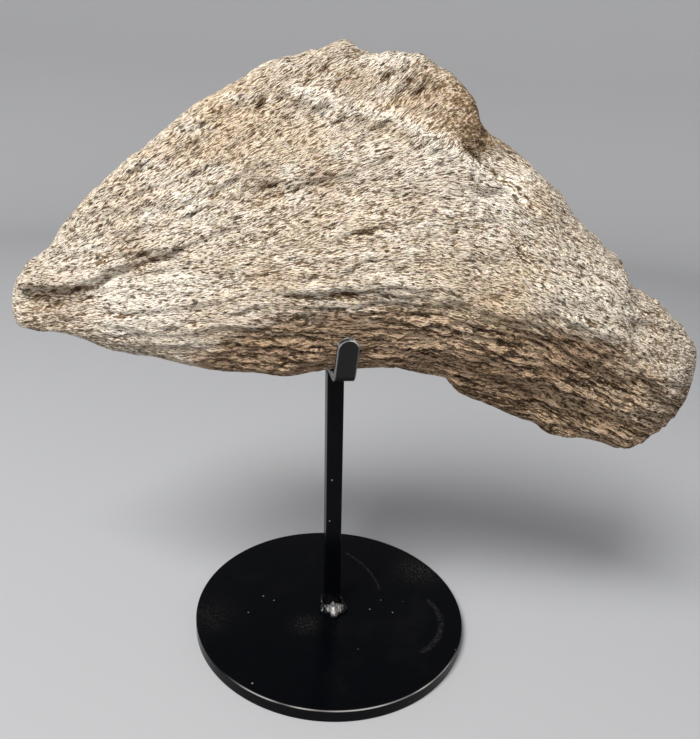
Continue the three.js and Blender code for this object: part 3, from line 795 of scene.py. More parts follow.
def crest_chips(x, side, to_crest):
    """Depth of the chips along the crest, from noise along it, with the back's unlike the front's."""
    chips = 0
    for spacing, seed, low, high, share in CREST_CHIPS:
        places = np.stack([x / spacing, np.zeros(len(x)), 0.5 * side], axis=1)
        chips += share * ease(noise(places, seed), low, high)
    return CHIP_DEPTH * chips * bump(to_crest, CHIP_REACH)


def fit_to_box(points, node):
    """Points stretched by a hair on each axis so that they fill the node's box exactly."""
    low, high = [np.array(corner, float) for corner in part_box(node)]
    own_low, own_high = points.min(axis=0), points.max(axis=0)
    return low + (points - own_low) * (high - low) / (own_high - own_low)


def ring_faces(columns, ring):
    """Quads between neighbouring closed rings, numbered column by column."""
    here = np.arange(columns * ring).reshape(columns, ring)
    after = np.roll(here, -1, axis=1)
    return np.stack([here[:-1], here[1:], after[1:], after[:-1]], axis=-1).reshape(-1, 4)


def capped_tube(points):
    """Points and faces of a grid of columns × closed rings, closed by a fan at each end."""
    columns, ring = points.shape[:2]
    flat = points.reshape(-1, 3)
    caps = np.stack([points[0].mean(axis=0), points[-1].mean(axis=0)])
    here = np.arange(ring)
    after = np.roll(here, -1)
    first, last = len(flat), len(flat) + 1
    start = np.stack([np.full(ring, first), here, after], axis=1)
    last_ring = (columns - 1) * ring
    end = np.stack([np.full(ring, last), last_ring + after, last_ring + here], axis=1)
    faces = ring_faces(columns, ring).tolist() + start.tolist() + end.tolist()
    return np.concatenate([flat, caps]), faces


def revolved(profile, steps):
    """Points of a profile of (distance from z, height) turned about z, as profile × steps."""
    turn = 2 * np.pi * np.arange(steps) / steps
    return np.stack([
        profile[:, :1] * np.cos(turn), profile[:, :1] * np.sin(turn),
        np.broadcast_to(profile[:, 1:], (len(profile), steps)),
    ], axis=-1)


def add_smooth(name, points, faces, material):
    """Smooth mesh object from points in metres."""
    mesh = bpy.data.meshes.new(name)
    mesh.from_pydata(points.tolist(), [], faces)
    if mesh.validate():
        raise RuntimeError(f"{name} has faces that repeat or have no area")
    mesh.polygons.foreach_set("use_smooth", np.ones(len(mesh.polygons), dtype=bool))
    mesh.materials.append(material)
    piece = bpy.data.objects.new(name, mesh)
    bpy.context.scene.collection.objects.link(piece)
    return piece


def add_piece(name, points, faces, node, material, attributes):
    """Smooth object with values at its points, standing for a node, on the root body."""
    piece = add_smooth(name, points, faces, material)
    for key, values in attributes.items():
        is_vector = values.ndim == 2
        layer = piece.data.attributes.new(key, "FLOAT_VECTOR" if is_vector else "FLOAT", "POINT")
        layer.data.foreach_set("vector" if is_vector else "value", values.astype(np.float32).ravel())
    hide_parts(node)
    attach(piece, "root")


class Shader:
    """Node tree of a material, built with short calls that return output sockets."""

    def __init__(self, name):
        self.material = bpy.data.materials.new(name)
        self.material.use_nodes = True
        self.tree = self.material.node_tree
        self.tree.nodes.clear()
        self.surface = self.add("ShaderNodeBsdfPrincipled")
        output = self.add("ShaderNodeOutputMaterial")
        self.tree.links.new(self.surface.outputs[0], output.inputs["Surface"])

    def add(self, kind, **settings):
        node = self.tree.nodes.new(kind)
        for key, value in settings.items():
            setattr(node, key, value)
        return node

    def put(self, socket, value):
        """Links a socket to another, or sets its value."""
        if isinstance(value, bpy.types.NodeSocket):
            self.tree.links.new(value, socket)
        elif value is not None:
            socket.default_value = value

    def math(self, operation, first, second=None, third=None, clamp=False):
        node = self.add("ShaderNodeMath", operation=operation, use_clamp=clamp)
        for socket, value in zip(node.inputs, (first, second, third)):
            self.put(socket, value)
        return node.outputs[0]

    def place(self):
        return self.add("ShaderNodeTexCoord").outputs["Object"]

    def place_in_millimetres(self, offset=(0, 0, 0)):
        return self.scaled(self.place(), (1 / MM, 1 / MM, 1 / MM), offset)

    def attribute(self, name, output="Fac"):
        return self.add("ShaderNodeAttribute", attribute_name=name).outputs[output]

    def scaled(self, vector, scale, offset=(0, 0, 0)):
        node = self.add("ShaderNodeMapping")
        self.put(node.inputs["Vector"], vector)
        node.inputs["Scale"].default_value = scale
        node.inputs["Location"].default_value = offset
        return node.outputs[0]

    def noise(self, vector, scale=1.0, detail=2.0, roughness=0.5, output=0):
        """Noise round 0.5 at the scale's repeats per unit, or its colour where output is 1."""
        node = self.add("ShaderNodeTexNoise")
        self.put(node.inputs["Vector"], vector)
        node.inputs["Scale"].default_value = scale
        node.inputs["Detail"].default_value = detail
        node.inputs["Roughness"].default_value = roughness
        return node.outputs[output]

    def cells(self, vector, scale=1.0, feature="F1", output="Distance"):
        node = self.add("ShaderNodeTexVoronoi", feature=feature)
        self.put(node.inputs["Vector"], vector)
        node.inputs["Scale"].default_value = scale
        return node.outputs[output]

    def cell_number(self, vector, scale=1.0):
        """Random number of the cell that a place lies in."""
        parts = self.add("ShaderNodeSeparateColor")
        self.put(parts.inputs[0], self.cells(vector, scale, output="Color"))
        return parts.outputs[0]

    def above_seed(self, vector):
        """How far a place lies above the middle of its random cell, along the third coordinate."""
        middle = self.cells(vector, output="Position")
        offset = self.add("ShaderNodeVectorMath", operation="SUBTRACT")
        self.put(offset.inputs[0], vector)
        self.put(offset.inputs[1], middle)
        parts = self.add("ShaderNodeSeparateXYZ")
        self.put(parts.inputs[0], offset.outputs[0])
        return parts.outputs[2]

    def turned(self, vector, angle):
        """Coordinates turned about the y axis, so that x runs at the angle above its old way."""
        node = self.add("ShaderNodeVectorRotate", rotation_type="Y_AXIS")
        self.put(node.inputs["Vector"], vector)
        self.put(node.inputs["Angle"], angle)
        return node.outputs[0]

    def step(self, value, low, high, out_low=0.0, out_high=1.0):
        """Smooth step of a value from out_low at low to out_high at high."""
        node = self.add("ShaderNodeMapRange", interpolation_type="SMOOTHSTEP")
        for socket, item in zip(node.inputs, (value, low, high, out_low, out_high)):
            self.put(socket, item)
        return node.outputs[0]

    def mix(self, share, first, second, blend="MIX"):
        """Mix of two colours, each a socket or an RGB triple."""
        node = self.add("ShaderNodeMix", data_type="RGBA", blend_type=blend)
        self.put(node.inputs[0], share)
        for socket, colour in ((node.inputs[6], first), (node.inputs[7], second)):
            is_socket = isinstance(colour, bpy.types.NodeSocket)
            self.put(socket, colour if is_socket else (*colour, 1.0))
        return node.outputs[2]

    def between(self, share, first, second):
        """Straight mix of two numbers."""
        node = self.add("ShaderNodeMix", data_type="FLOAT")
        for index, value in ((0, share), (2, first), (3, second)):
            self.put(node.inputs[index], value)
        return node.outputs[0]

    def bump(self, height, distance, strength=1.0, below=None):
        node = self.add("ShaderNodeBump")
        node.inputs["Distance"].default_value = distance
        node.inputs["Strength"].default_value = strength
        self.put(node.inputs["Height"], height)
        self.put(node.inputs["Normal"], below)
        return node.outputs[0]

    def finish(self, colour, roughness, normal, specular, metallic=0.0):
        self.put(self.surface.inputs["Base Color"], colour)
        self.put(self.surface.inputs["Roughness"], roughness)
        self.put(self.surface.inputs["Normal"], normal)
        self.put(self.surface.inputs["Metallic"], metallic)
        self.surface.inputs["Specular IOR Level"].default_value = specular
        return self.material


def fibre_pattern(s, grain, under):
    """Height of the fibres, and the share of open pore, for coordinates along the fibres.

    Fibres about one millimetre across carry threads half as wide. Below the brow there are long
    slivers, and cells that rise to their lower edges. Small pores are where a stretched noise is
    high, and large ones lie in a few of the cells of a random pattern.
    """
    fibre = s.noise(s.scaled(grain, *FIBRE_LAYER), detail=3.0, roughness=0.7)
    thread = s.noise(s.scaled(grain, *THREAD_LAYER), detail=2.0, roughness=0.6)
    sliver = s.noise(s.scaled(grain, *SLIVER_LAYER), detail=4.0, roughness=0.7)
    weave = s.math("ADD", s.math("MULTIPLY", fibre, 0.3), s.math("MULTIPLY", thread, 0.7))
    above = s.above_seed(s.scaled(grain, *SCALE_LAYER))
    scales = s.math("MULTIPLY_ADD", above, -0.24, s.math("MULTIPLY_ADD", thread, 1.05, -0.01))
    streaks = s.math("ADD", s.math("SUBTRACT", sliver, 0.5), scales)
    small = s.step(s.noise(s.scaled(grain, *SMALL_PORE_LAYER), detail=1.5), *SMALL_PORES)
    cells = s.scaled(grain, *LARGE_PORE_LAYER)
    is_open = s.step(s.cell_number(cells), *OPEN_CELLS)
    large = s.math("MULTIPLY", s.step(s.cells(cells), *LARGE_PORES), is_open)
    return s.between(under, weave, streaks), s.math("MAXIMUM", small, large)


def bone_material(settings):
    """Weathered bone: cream fibres, open pores, stains, painted shade and highlights, a brown
    underside.
    """
    s = Shader("weathered_bone")
    place = s.place_in_millimetres()
    skin = s.attribute("skin", "Vector")
    edge = s.noise(s.scaled(place, *EDGE_LAYER), detail=5.0, roughness=0.65)
    under = s.math("MULTIPLY_ADD", s.math("SUBTRACT", edge, 0.5), 1.5, s.attribute("under"))
    under = s.step(under, *UNDER_STEP)

    # Stains over tens of millimetres
    drift = s.noise(s.scaled(place, *DRIFT_LAYER), detail=3.0, roughness=0.6)
    patch = s.noise(s.scaled(place, *PATCH_LAYER), detail=3.0, roughness=0.6)
    tan_share = s.math("ADD", s.attribute("tan"), s.step(drift, *TAN_DRIFTS), clamp=True)
    chalk_share = s.math("ADD", s.attribute("chalk"), s.step(patch, *CHALK_PATCHES), clamp=True)
    # Brown below the brow and in the brown hollows: partly stain, partly painted shade
    less_tan = s.math("MULTIPLY_ADD", s.attribute("tan"), -0.5, 1.0, clamp=True)
    brown_and_shade_share = s.math("MULTIPLY_ADD", under, less_tan, s.attribute("brown"), clamp=True)
    colour = tuple(settings.cream)
    stains = [(tan_share, 0.7, settings.tan), (chalk_share, 0.7, settings.chalk),
              (brown_and_shade_share, 0.8, settings.brown)]
    for share, strength, stain in stains:
        colour = s.mix(s.math("MULTIPLY", share, strength), colour, tuple(stain))
    tint = s.noise(s.scaled(place, *TINT_LAYER), detail=3.0, output=1)
    colour = s.mix(s.between(under, *TINT_SHARES), colour, tint, "SOFT_LIGHT")

    # Coordinates that wander a little, so that no fibre runs straight
    warp = s.add("ShaderNodeVectorMath", operation="MULTIPLY_ADD")
    s.put(warp.inputs[0], s.noise(s.scaled(skin, *WARP_LAYER), detail=2.0, output=1))
    warp.inputs[1].default_value = WARP_REACH
    s.put(warp.inputs[2], skin)
    wavy = warp.outputs[0]

    # The same pattern turned to the two nearest whole steps of angle, and mixed
    level = s.attribute("turn")
    low = s.math("FLOOR", level)
    share = s.step(s.math("SUBTRACT", level, low), *TURN_BLEND)
    angle = s.math("MULTIPLY", low, TURN_STEP)
    weave, pore = fibre_pattern(s, s.turned(wavy, angle), under)
    next_weave, next_pore = fibre_pattern(s, s.turned(wavy, s.math("ADD", angle, TURN_STEP)), under)
    weave = s.between(share, weave, next_weave)
    pore = s.between(share, pore, next_pore)

    # Spongy places: a fine mesh of crooked holes instead of fibres, with painted highlight on the
    # walls
    spongy = s.attribute("spongy")
    froth = s.noise(place, scale=0.62, detail=3.0, roughness=0.65)
    walls = s.math("MULTIPLY_ADD", s.cells(wavy, scale=0.8), 0.22, 0.11)
    walls = s.math("MULTIPLY_ADD", froth, 0.4, walls)
    walls = s.math("MULTIPLY_ADD", s.math("SUBTRACT", weave, 0.5), 0.5, walls)
    weave = s.between(spongy, weave, walls)
    pore = s.math("MULTIPLY", pore, s.math("SUBTRACT", 1.0, s.math("MULTIPLY", spongy, 0.7)))

    # Painted shade where the weave is low, and more of it where the surface is hollow
    lowered = s.math("MULTIPLY_ADD", chalk_share, 0.02, weave)
    drop = s.between(under, *HOLLOW_SHADE_DROP)
    lowered = s.math("MULTIPLY_ADD", s.attribute("hollow_shade"), drop, lowered)
    crevice_shade = s.step(lowered, *CREVICE_SHADE_STEP)
    # Painted highlight on the ridges of the weave, and more of it below the brow
    ridge_highlight = s.step(weave, *RIDGE_HIGHLIGHT_STEP)
    colour = s.mix(ridge_highlight, colour, RIDGE_HIGHLIGHT, "MULTIPLY")
    colour = s.mix(s.math("MULTIPLY", ridge_highlight, under), colour, UNDER_RIDGE_HIGHLIGHT, "MULTIPLY")
    colour = s.mix(s.math("MULTIPLY", crevice_shade, 0.92), colour, tuple(settings.crevice_shade))
    # Painted shade in the pores and deepest crevices, with the dark of sediment in the pores
    deep_sediment_and_shade = s.math("MAXIMUM", pore, s.step(lowered, *DEEP_SHADE_STEP))
    colour = s.mix(s.math("MULTIPLY", deep_sediment_and_shade, 0.85), colour, tuple(settings.pore))

    height = s.math("SUBTRACT", s.math("MULTIPLY", weave, 2.4), s.math("MULTIPLY", pore, 0.8))
    normal = s.bump(height, 1.5 * MM, 1.0)
    return s.finish(colour, roughness=0.88, normal=normal, specular=0.2)


def speckle(s, place, scale, share, radius):
    """Scattered specks: the middles of a share of the cells of a random pattern."""
    chosen = s.math("GREATER_THAN", s.cell_number(place, scale), 1 - share)
    return s.math("MULTIPLY", s.step(s.cells(place, scale), radius, radius * 0.4), chosen)


def arc_marks(s, place, arcs, end_fade=0.15):
    """Worn arcs: thin bands of circles about z, broken up by noise and fading at both ends."""
    ragged = s.noise(place, scale=900.0, detail=4.0, roughness=0.7)
    total = 0.0
    for centre_x, centre_y, radius, width, start, end, strength in arcs:
        parts = s.add("ShaderNodeSeparateXYZ")
        s.put(parts.inputs[0], s.place_in_millimetres((-centre_x, -centre_y, 0)))
        x, y = parts.outputs[0], parts.outputs[1]
        reach = s.math("SQRT", s.math("ADD", s.math("MULTIPLY", x, x), s.math("MULTIPLY", y, y)))
        off = s.math("ABSOLUTE", s.math("SUBTRACT", reach, radius))
        bearing = s.math("ARCTAN2", y, x)
        start, end = math.radians(start), math.radians(end)
        ends = s.math("MULTIPLY", s.step(bearing, start, start + end_fade),
                      s.step(bearing, end, end - end_fade))
        mark = s.math("MULTIPLY", s.step(off, width, 0.2 * width), ends)
        mark = s.math("MULTIPLY", mark, s.step(ragged, 0.4, 0.62, 0.0, strength))
        total = s.math("MAXIMUM", total, mark)
    return total


def paint_material(settings, name, speck_share, arcs=()):
    """Black gloss paint with dust specks, a soft haze, and steel for wear and a painted rim highlight.
    """
    s = Shader(name)
    place = s.place()
    orange_peel = s.noise(place, scale=420.0)
    normal = s.bump(orange_peel, 0.06 * MM, 0.35)
    specks = speckle(s, place, 330.0, speck_share, 0.2)
    haze = s.step(s.noise(place, scale=34.0, detail=4.0, roughness=0.65), 0.5, 0.75)
    haze = s.math("MULTIPLY", haze, 0.006)
    grit = s.step(s.noise(place, scale=1500.0, detail=3.0, roughness=0.7), 0.45, 0.7)
    dusty = s.math("MULTIPLY_ADD", s.attribute("dust"), grit, haze, clamp=True)
    dusty = s.math("MAXIMUM", dusty, arc_marks(s, place, arcs))
    # Steel where the paint is worn, and along the front of the plate's rim a painted highlight
    worn = s.attribute("wear_and_highlight")
    colour = s.mix(dusty, tuple(settings.paint), tuple(settings.dust))
    colour = s.mix(s.math("MULTIPLY", specks, 0.7), colour, tuple(settings.dust))
    colour = s.mix(worn, colour, tuple(settings.steel))
    roughness = s.math("ADD", 0.2, s.math("MULTIPLY", s.math("MAXIMUM", dusty, specks), 0.5))
    return s.finish(colour, roughness, normal, specular=0.08)


def weld_material(settings):
    """Scraped weld metal: grey with bright scratches, and paint left in the hollows and the rim."""
    s = Shader("scraped_weld")
    place = s.place()
    rough = s.noise(place, scale=520.0, detail=4.0, roughness=0.65)
    scratch = s.noise(s.scaled(place, (2600, 500, 900)), detail=2.0)
    bare = s.attribute("bare")
    steel = s.mix(s.step(scratch, 0.4, 0.65), (0.10, 0.095, 0.09), tuple(settings.steel))
    shown = s.step(s.math("ADD", bare, s.math("MULTIPLY", rough, 0.8)), 0.75, 1.0)
    colour = s.mix(shown, tuple(settings.paint), steel)
    normal = s.bump(rough, 0.35 * MM, 0.9)
    roughness = s.step(shown, 0.0, 1.0, 0.25, 0.5)
    return s.finish(colour, roughness, normal, specular=0.3, metallic=s.math("MULTIPLY", shown, 0.5))


def floor_material(settings):
    """Plain pale paper floor, with a trace of mottling."""
    s = Shader("pale_floor")
    mottle = s.noise(s.place(), scale=3.0, detail=3.0)
    floor = tuple(settings.floor)
    lighter = tuple(min(1.0, channel * 1.03) for channel in floor)
    return s.finish(s.mix(mottle, floor, lighter), roughness=0.9, normal=None, specular=0.1)


def rounded_rectangle(half_width, half_height, radius, inset, steps=4):
    """Closed outline, anticlockwise: four quarter circles, and a point just inside each flat's end."""
    turn = np.linspace(0, np.pi / 2, steps + 1)
    outline = []
    for corner, (sign_x, sign_y) in enumerate([(1, 1), (-1, 1), (-1, -1), (1, -1)]):
        angle = turn + corner * np.pi / 2
        arc = np.stack([
            sign_x * (half_width - radius) + radius * np.cos(angle),
            sign_y * (half_height - radius) + radius * np.sin(angle),
        ], axis=1)
        before = arc[0] + inset * np.array([math.sin(angle[0]), -math.cos(angle[0])])
        after = arc[-1] + inset * np.array([-math.sin(angle[-1]), math.cos(angle[-1])])
        outline += [before, *arc, after]
    return np.array(outline)


class FOSSIL_OT_skull_fragment(bpy.types.Operator):
    """Make the weathered fragment of skull bone"""

    bl_idname = "fossil.skull_fragment"
    bl_label = "Skull Fragment"

    def execute(self, context):
        settings = context.scene.fossil_bone
        plain, points, under = bone_skin(settings)
        columns, ring = points.shape[:2]
        under = under.ravel()
        flat = points.reshape(-1, 3)
        x, y, z = flat.T
        side = np.where(np.tile(np.arange(ring) <= settings.front_rows, columns), 1, -1)
        skin = unwrapped(plain, settings.front_rows // 2).reshape(-1, 3)
        angle = side * fibre_angle(x, z)
        relief, hollow_shade = texture_relief(settings, flat, skin, angle, under)
        rough = flat + ring_normals(points).reshape(-1, 3) * (relief * calm(flat))[:, None]
        rough[:, 2] -= crest_chips(rough[:, 0], side, along(CREST, x) - z)
        solid, faces = capped_tube(rough.reshape(columns, ring, 3))
        solid = fit_to_box(solid * MM, "skull_fragment")

        # Marks that are on the front alone
        is_front = on_front(y)
        broken = ease(noise(rough / 5.3, settings.seed + 80), -0.5, 0.3)
        lines = line_mark(CRACK_SHADE, x, z) + broken * line_mark(GROOVE_SHADE, x, z)
        # Painted shade along the crack, in the groove and between the flakes joins that of the hollows
        hollow_shade = np.maximum(hollow_shade, is_front * lines) + is_front * spots(FLAKE_HOLLOW_SHADE, x, z)
        values = {
            "skin": skin,
            "turn": angle / TURN_STEP,
            "under": under,
            "hollow_shade": hollow_shade,
            "spongy": is_front * np.clip(spots(SPONGY_PLACES, x, z), 0, 1),
            "brown": is_front * spots(BROWN_STAINS_AND_SHADE, x, z),
            "chalk": is_front * (spots(CHALK_STAINS, x, z) + line_mark(LEDGE_CHALK, x, z)),
            "tan": is_front * spots(TAN_STAINS, x, z),
        }
        attributes = {
            key: np.concatenate([value, value[:1], value[-1:]]) for key, value in values.items()}
        add_piece("bone_surface", solid, faces, "skull_fragment",
                  bone_material(settings), attributes)
        return {"FINISHED"}


class FOSSIL_OT_base_plate(bpy.types.Operator):
    """Turn the round base plate, with both rims rounded"""

    bl_idname = "fossil.base_plate"
    bl_label = "Base Plate"

    def execute(self, context):
        settings = context.scene.fossil_stand
        radius = settings.plate_diameter / 2
        thickness = settings.plate_thickness
        rim = settings.rim_radius
        beside_rim = rim + CORNER_INSET * MM
        quarter = np.linspace(0, np.pi / 2, RIM_STEPS)
        lower = np.stack([radius - rim + rim * np.sin(quarter), rim - rim * np.cos(quarter)], axis=1)
        upper = lower[::-1] * (1, -1) + (0, thickness)
        edge = np.array([[radius, beside_rim], [radius, thickness - beside_rim]])
        rings = np.linspace(2 * MM, radius - beside_rim, PLATE_RINGS)
        underside = np.stack([rings, 0 * rings], axis=1)
        top = underside[::-1] + (0, thickness)
        profile = np.concatenate([underside, lower, edge, upper, top])
        solid, faces = capped_tube(revolved(profile, PLATE_STEPS))

        # Painted highlight along the front of the upper rim, coloured as worn steel, and dust in a few
        # places on top
        x, y, z = (solid / MM).T
        on_rim = bump(np.hypot(x, y) - (radius / MM - 0.18), 0.2) * (z > thickness / MM - 0.6)
        bearing = np.degrees(np.arctan2(y, x))
        front = ease(bearing, *RIM_HIGHLIGHT_COMES) * (1 - ease(bearing, *RIM_HIGHLIGHT_GOES))
        broken = 0.55 + 0.45 * noise(np.outer(bearing / 7, (1, 0, 0)), 3)
        wear_and_highlight = on_rim * front * np.clip(broken, 0, 1)
        dust = spots(PLATE_DUST, x, y) * (z > 1)
        add_piece("plate_turned", solid, faces, "base_plate",
                  paint_material(settings, "plate_paint", 0.03, PLATE_ARCS),
                  {"wear_and_highlight": wear_and_highlight, "dust": dust})
        return {"FINISHED"}


class FOSSIL_OT_post(bpy.types.Operator):
    """Make the square bar of the post"""

    bl_idname = "fossil.post"
    bl_label = "Post"

    def execute(self, context):
        settings = context.scene.fossil_stand
        low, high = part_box("post")
        outline = rounded_rectangle(
            settings.bar_side / 2, settings.bar_side / 2, settings.bar_corner, CORNER_INSET * MM)
        cos, sin = math.cos(STAND_TURN), math.sin(STAND_TURN)
        turned = outline @ np.array([[cos, sin], [-sin, cos]])
        share = np.linspace(0, 1, POST_ROWS)[:, None]
        shape = (len(share), len(turned))
        points = np.stack([
            between(POST_TOP_X, POST_FOOT[0], share) * MM + turned[:, 0],
            np.broadcast_to(POST_FOOT[1] * MM + turned[:, 1], shape),
            np.broadcast_to(between(high[2], low[2], share), shape),
        ], axis=-1)
        solid, faces = capped_tube(points)
        z = solid[:, 2] / MM
        add_piece("post_bar", solid, faces, "post",
                  paint_material(settings, "post_paint", 0.05),
                  {"wear_and_highlight": np.zeros(len(z)), "dust": 0.05 * bump(z - 9, 4)})
        return {"FINISHED"}


def strip_path():
    """Middle line of the strip as (forwards, up): arm, bend, run, bend and prong.

    Each bend is a quadratic curve from one leg to the next, and the legs are cut at even steps.
    """
    run = RUN_UNDERSIDE + STRIP_THICKNESS / 2
    corners = np.array([ARM_TOP, (ARM_FOOT, run), (PRONG_FOOT, run), PRONG_TOP], float)
    s = np.linspace(0, 1, BEND_STEPS)[:, None]
    pieces = [corners[:1]]
    for before, corner, after in zip(corners, corners[1:], corners[2:]):
        start = between(corner, before, BEND_RADIUS / np.linalg.norm(before - corner))
        end = between(corner, after, BEND_RADIUS / np.linalg.norm(after - corner))
        pieces.append((1 - s) ** 2 * start + 2 * s * (1 - s) * corner + s**2 * end)
    pieces.append(corners[-1:])
    return np.concatenate(pieces)


class FOSSIL_OT_cradle(bpy.types.Operator):
    """Bend the strip that carries the bone and holds it with a short prong in front"""

    bl_idname = "fossil.cradle"
    bl_label = "Cradle"

    def execute(self, context):
        settings = context.scene.fossil_stand
        half_width = settings.strip_width / MM / 2
        path = strip_path()
        tip_turn = np.linspace(0.03, 1, TIP_STEPS)[:, None] * np.pi / 2

        def rounded_end(end, inner):
            inwards = (inner - end) / np.linalg.norm(inner - end)
            places = end + inwards * half_width * (1 - np.cos(tip_turn))
            return places, half_width * np.sin(tip_turn[:, 0])

        arm_places, arm_widths = rounded_end(path[0], path[1])
        prong_places, prong_widths = rounded_end(path[-1], path[-2])
        places = np.concatenate([arm_places, path[1:-1], prong_places[::-1]])
        widths = np.concatenate([arm_widths, np.full(len(path) - 2, half_width), prong_widths[::-1]])

        direction = np.gradient(places, axis=0)
        direction /= np.linalg.norm(direction, axis=1, keepdims=True)
        normal = np.stack([-direction[:, 1], direction[:, 0]], axis=1)
        unit = rounded_rectangle(
            half_width, STRIP_THICKNESS / 2, settings.strip_corner / MM, STRIP_INSET)
        across = unit[:, 0] / half_width * widths[:, None]
        through = np.broadcast_to(unit[:, 1], across.shape)
        forwards = places[:, :1] + normal[:, :1] * through
        up = places[:, 1:] + normal[:, 1:] * through
        cos, sin = math.cos(STAND_TURN), math.sin(STAND_TURN)
        points = np.stack([
            POST_TOP_X + sin * forwards + cos * across,
            POST_FOOT[1] - cos * forwards + sin * across,
            up,
        ], axis=-1)
        solid, faces = capped_tube(points[:, ::-1])
        solid = fit_to_box(solid * MM, "cradle")

        # Worn steel along the edges and on the end face of the prong, in front alone, partly a painted
        # highlight
        beside = np.abs(unit[::-1, 0]) - half_width
        edge = bump(beside, 0.5) * bump(np.abs(unit[::-1, 1]) - STRIP_THICKNESS / 2, 0.5)
        edge = np.append(np.broadcast_to(edge, across.shape).ravel(), [0, 0])
        side = np.broadcast_to(ease(beside, -0.8, -0.3), across.shape).ravel()
        _, y, z = (solid / MM).T
        tip = ease(z, *WEAR_AND_HIGHLIGHT_END) * np.append(side, [0, 1])
        patchy = ease(noise(solid / MM / 1.7, 21), -0.3, 0.5)
        wear_and_highlight = np.clip((0.55 * edge + 0.9 * tip * patchy) * (y < WEAR_AND_HIGHLIGHT_DEPTH), 0, 1)
        add_piece("cradle_strip", solid, faces, "cradle",
                  paint_material(settings, "cradle_paint", 0.0),
                  {"wear_and_highlight": wear_and_highlight, "dust": np.zeros(len(z))})
        return {"FINISHED"}


class FOSSIL_OT_weld_bead(bpy.types.Operator):
    """Lay the lumpy weld round the foot of the post"""

    bl_idname = "fossil.weld_bead"
    bl_label = "Weld Bead"

    def execute(self, context):
        settings = context.scene.fossil_stand
        low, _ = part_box("weld_bead")
        angle = (2 * np.pi * np.arange(WELD_STEPS) / WELD_STEPS)[:, None]
        inner = (settings.bar_side / MM / 2 + 2 * POST_GAP) / np.maximum(
            np.abs(np.cos(angle)), np.abs(np.sin(angle)))
        turn = np.arctan2(np.sin(angle - WELD_LUMP_SIDE), np.cos(angle - WELD_LUMP_SIDE))
        lump = bump(turn, WELD_LUMP_SPREAD)
        ripple = 1 + sum(
            share * np.sin(waves * angle + phase) for share, waves, phase in WELD_RIPPLES)
        reach = (WELD_REACH + WELD_LUMP_REACH * lump) * ripple
        height = (WELD_HEIGHT + WELD_LUMP_HEIGHT * lump) * ripple

        # Profile: along the plate, up over a quarter circle and down the inner wall
        s = np.linspace(0, np.pi / 2, WELD_ROWS)
        out = np.concatenate([[0], np.cos(s) ** WELD_PROFILE[0]])
        up = np.concatenate([[0], np.sin(s) ** WELD_PROFILE[1]])
        radius = inner + out * reach
        z = up * height
        places = np.stack([radius * np.cos(angle), radius * np.sin(angle), z], axis=-1)
        lumps = noise(places.reshape(-1, 3) / WELD_LUMP_SIZE, 5).reshape(radius.shape)
        lumps *= (up > 0.02) * (out > 0.02)
        radius = radius + 0.3 * lumps
        z = np.maximum(z + 0.45 * lumps * up, 0)
        x = radius * np.cos(angle)
        y = radius * np.sin(angle)
        cos, sin = math.cos(STAND_TURN), math.sin(STAND_TURN)
        points = np.stack([
            POST_FOOT[0] + cos * x - sin * y, POST_FOOT[1] + sin * x + cos * y, z + low[2] / MM,
        ], axis=-1)
        here = np.arange(points[..., 0].size).reshape(points.shape[:2])
        after, ahead = np.roll(here, -1, axis=1), np.roll(here, -1, axis=0)
        faces = np.stack([here, ahead, np.roll(ahead, -1, axis=1), after], axis=-1).reshape(-1, 4)
        solid = fit_to_box(points.reshape(-1, 3) * MM, "weld_bead")
        bare = np.clip(0.75 * lump * (0.3 + 0.7 * up), 0, 1).ravel()
        add_piece("weld_ring", solid, faces.tolist(), "weld_bead",
                  weld_material(settings), {"bare": bare})
        return {"FINISHED"}


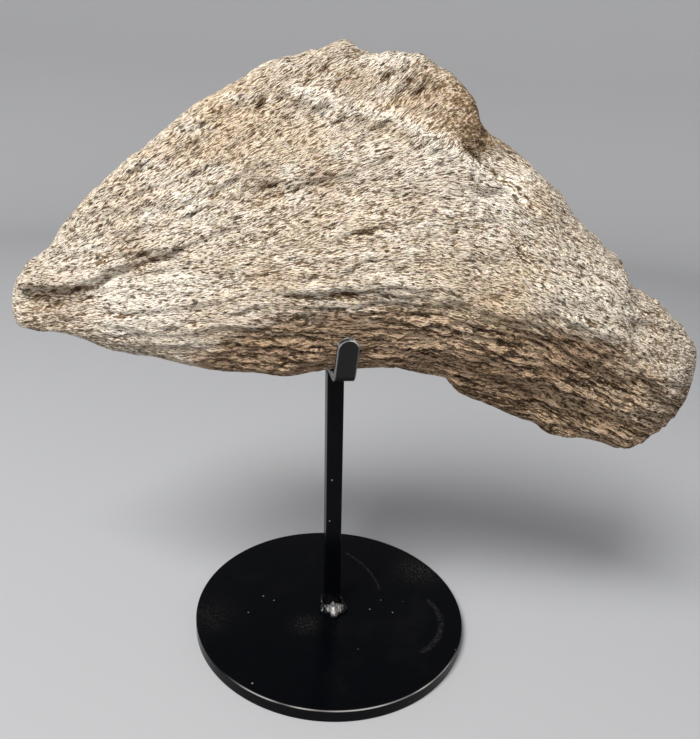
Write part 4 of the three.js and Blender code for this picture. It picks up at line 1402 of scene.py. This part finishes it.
class FOSSIL_OT_stage(bpy.types.Operator):
    """Lay the floor, hang the lights and set up the camera"""

    bl_idname = "fossil.stage"
    bl_label = "Stage"

    def execute(self, context):
        settings = context.scene.fossil_stage
        self.add_floor(settings)
        self.add_light("key", KEY_PLACE, KEY_SIDE, settings.key_power)
        self.add_light("fill", FILL_PLACE, FILL_SIDE, settings.fill_power)
        world = bpy.data.worlds.new("room")
        world.use_nodes = True
        world.node_tree.nodes["Background"].inputs["Color"].default_value = (*settings.sky, 1)
        context.scene.world = world
        context.scene.view_settings.view_transform = "Standard"
        self.add_camera(context, settings)
        return {"FINISHED"}

    def add_floor(self, settings):
        """Bowl turned about z: flat, then a quarter circle up, then a short wall."""
        s = np.linspace(0, 1, 13)
        flat = np.stack([s * settings.floor_reach, 0 * s], axis=1)
        bend = np.stack([settings.floor_reach + FLOOR_BEND * np.sin(s * np.pi / 2),
                         FLOOR_BEND - FLOOR_BEND * np.cos(s * np.pi / 2)], axis=1)
        wall = np.array([[settings.floor_reach + FLOOR_BEND, FLOOR_HEIGHT]])
        profile = np.concatenate([flat[1:], bend[1:], wall])
        points = revolved(profile, FLOOR_STEPS).reshape(-1, 3)
        middle = list(range(FLOOR_STEPS))[::-1]
        faces = ring_faces(len(profile), FLOOR_STEPS)[:, ::-1].tolist() + [middle]
        floor = add_smooth("floor", points, faces, floor_material(settings))

    def add_light(self, name, place, size, power):
        """Square area light that looks at the bone."""
        light = bpy.data.lights.new(name, "AREA")
        light.size = size
        light.energy = power
        lamp = bpy.data.objects.new(name, light)
        lamp.location = place
        away = Vector(place) - Vector(LIGHT_TARGET)
        lamp.rotation_euler = away.to_track_quat("Z", "Y").to_euler()
        bpy.context.scene.collection.objects.link(lamp)

    def add_camera(self, context, settings):
        """Camera turned right by yaw, down by pitch and then leaned by roll."""
        data = bpy.data.cameras.new("camera")
        data.sensor_fit = "AUTO"
        data.sensor_width = 36.0
        data.lens = data.sensor_width * settings.focal_share
        data.clip_start = 0.01
        yaw, pitch, roll = settings.camera_yaw, settings.camera_pitch, settings.camera_roll
        level_right = Vector((math.cos(yaw), -math.sin(yaw), 0))
        forward = Vector((
            math.sin(yaw) * math.cos(pitch), math.cos(yaw) * math.cos(pitch), -math.sin(pitch)))
        level_up = level_right.cross(forward)
        right = math.cos(roll) * level_right + math.sin(roll) * level_up
        up = math.cos(roll) * level_up - math.sin(roll) * level_right
        turn = Matrix((right, up, -forward)).transposed().to_4x4()
        camera = bpy.data.objects.new("camera", data)
        camera.matrix_world = Matrix.Translation(settings.camera_place) @ turn
        context.scene.collection.objects.link(camera)
        context.scene.camera = camera


class FOSSIL_PT_pieces(bpy.types.Panel):
    """Panel that lists the pieces and their settings"""

    bl_label = "Fossil on a Stand"
    bl_idname = "FOSSIL_PT_pieces"
    bl_space_type = "VIEW_3D"
    bl_region_type = "UI"
    bl_category = "Fossil"

    def draw(self, context):
        layout = self.layout
        for operator in OPERATORS:
            layout.operator(operator.bl_idname)
        for group in ("fossil_bone", "fossil_stand", "fossil_stage"):
            settings = getattr(context.scene, group)
            box = layout.box()
            for key in settings.__annotations__:
                box.prop(settings, key)


SETTINGS = (BoneSettings, StandSettings, StageSettings)
OPERATORS = (
    FOSSIL_OT_stage, FOSSIL_OT_skull_fragment, FOSSIL_OT_base_plate, FOSSIL_OT_post,
    FOSSIL_OT_cradle, FOSSIL_OT_weld_bead,
)


def register():
    for cls in (*SETTINGS, *OPERATORS, FOSSIL_PT_pieces):
        bpy.utils.register_class(cls)
    bpy.types.Scene.fossil_bone = bpy.props.PointerProperty(type=BoneSettings)
    bpy.types.Scene.fossil_stand = bpy.props.PointerProperty(type=StandSettings)
    bpy.types.Scene.fossil_stage = bpy.props.PointerProperty(type=StageSettings)


def unregister():
    del bpy.types.Scene.fossil_stage
    del bpy.types.Scene.fossil_stand
    del bpy.types.Scene.fossil_bone
    for cls in reversed((*SETTINGS, *OPERATORS, FOSSIL_PT_pieces)):
        bpy.utils.unregister_class(cls)


def main():
    register()
    bpy.ops.fossil.stage()
    bpy.ops.fossil.skull_fragment()
    bpy.ops.fossil.base_plate()
    bpy.ops.fossil.post()
    bpy.ops.fossil.cradle()
    bpy.ops.fossil.weld_bead()
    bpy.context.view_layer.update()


if __name__ == "__main__":
    main()
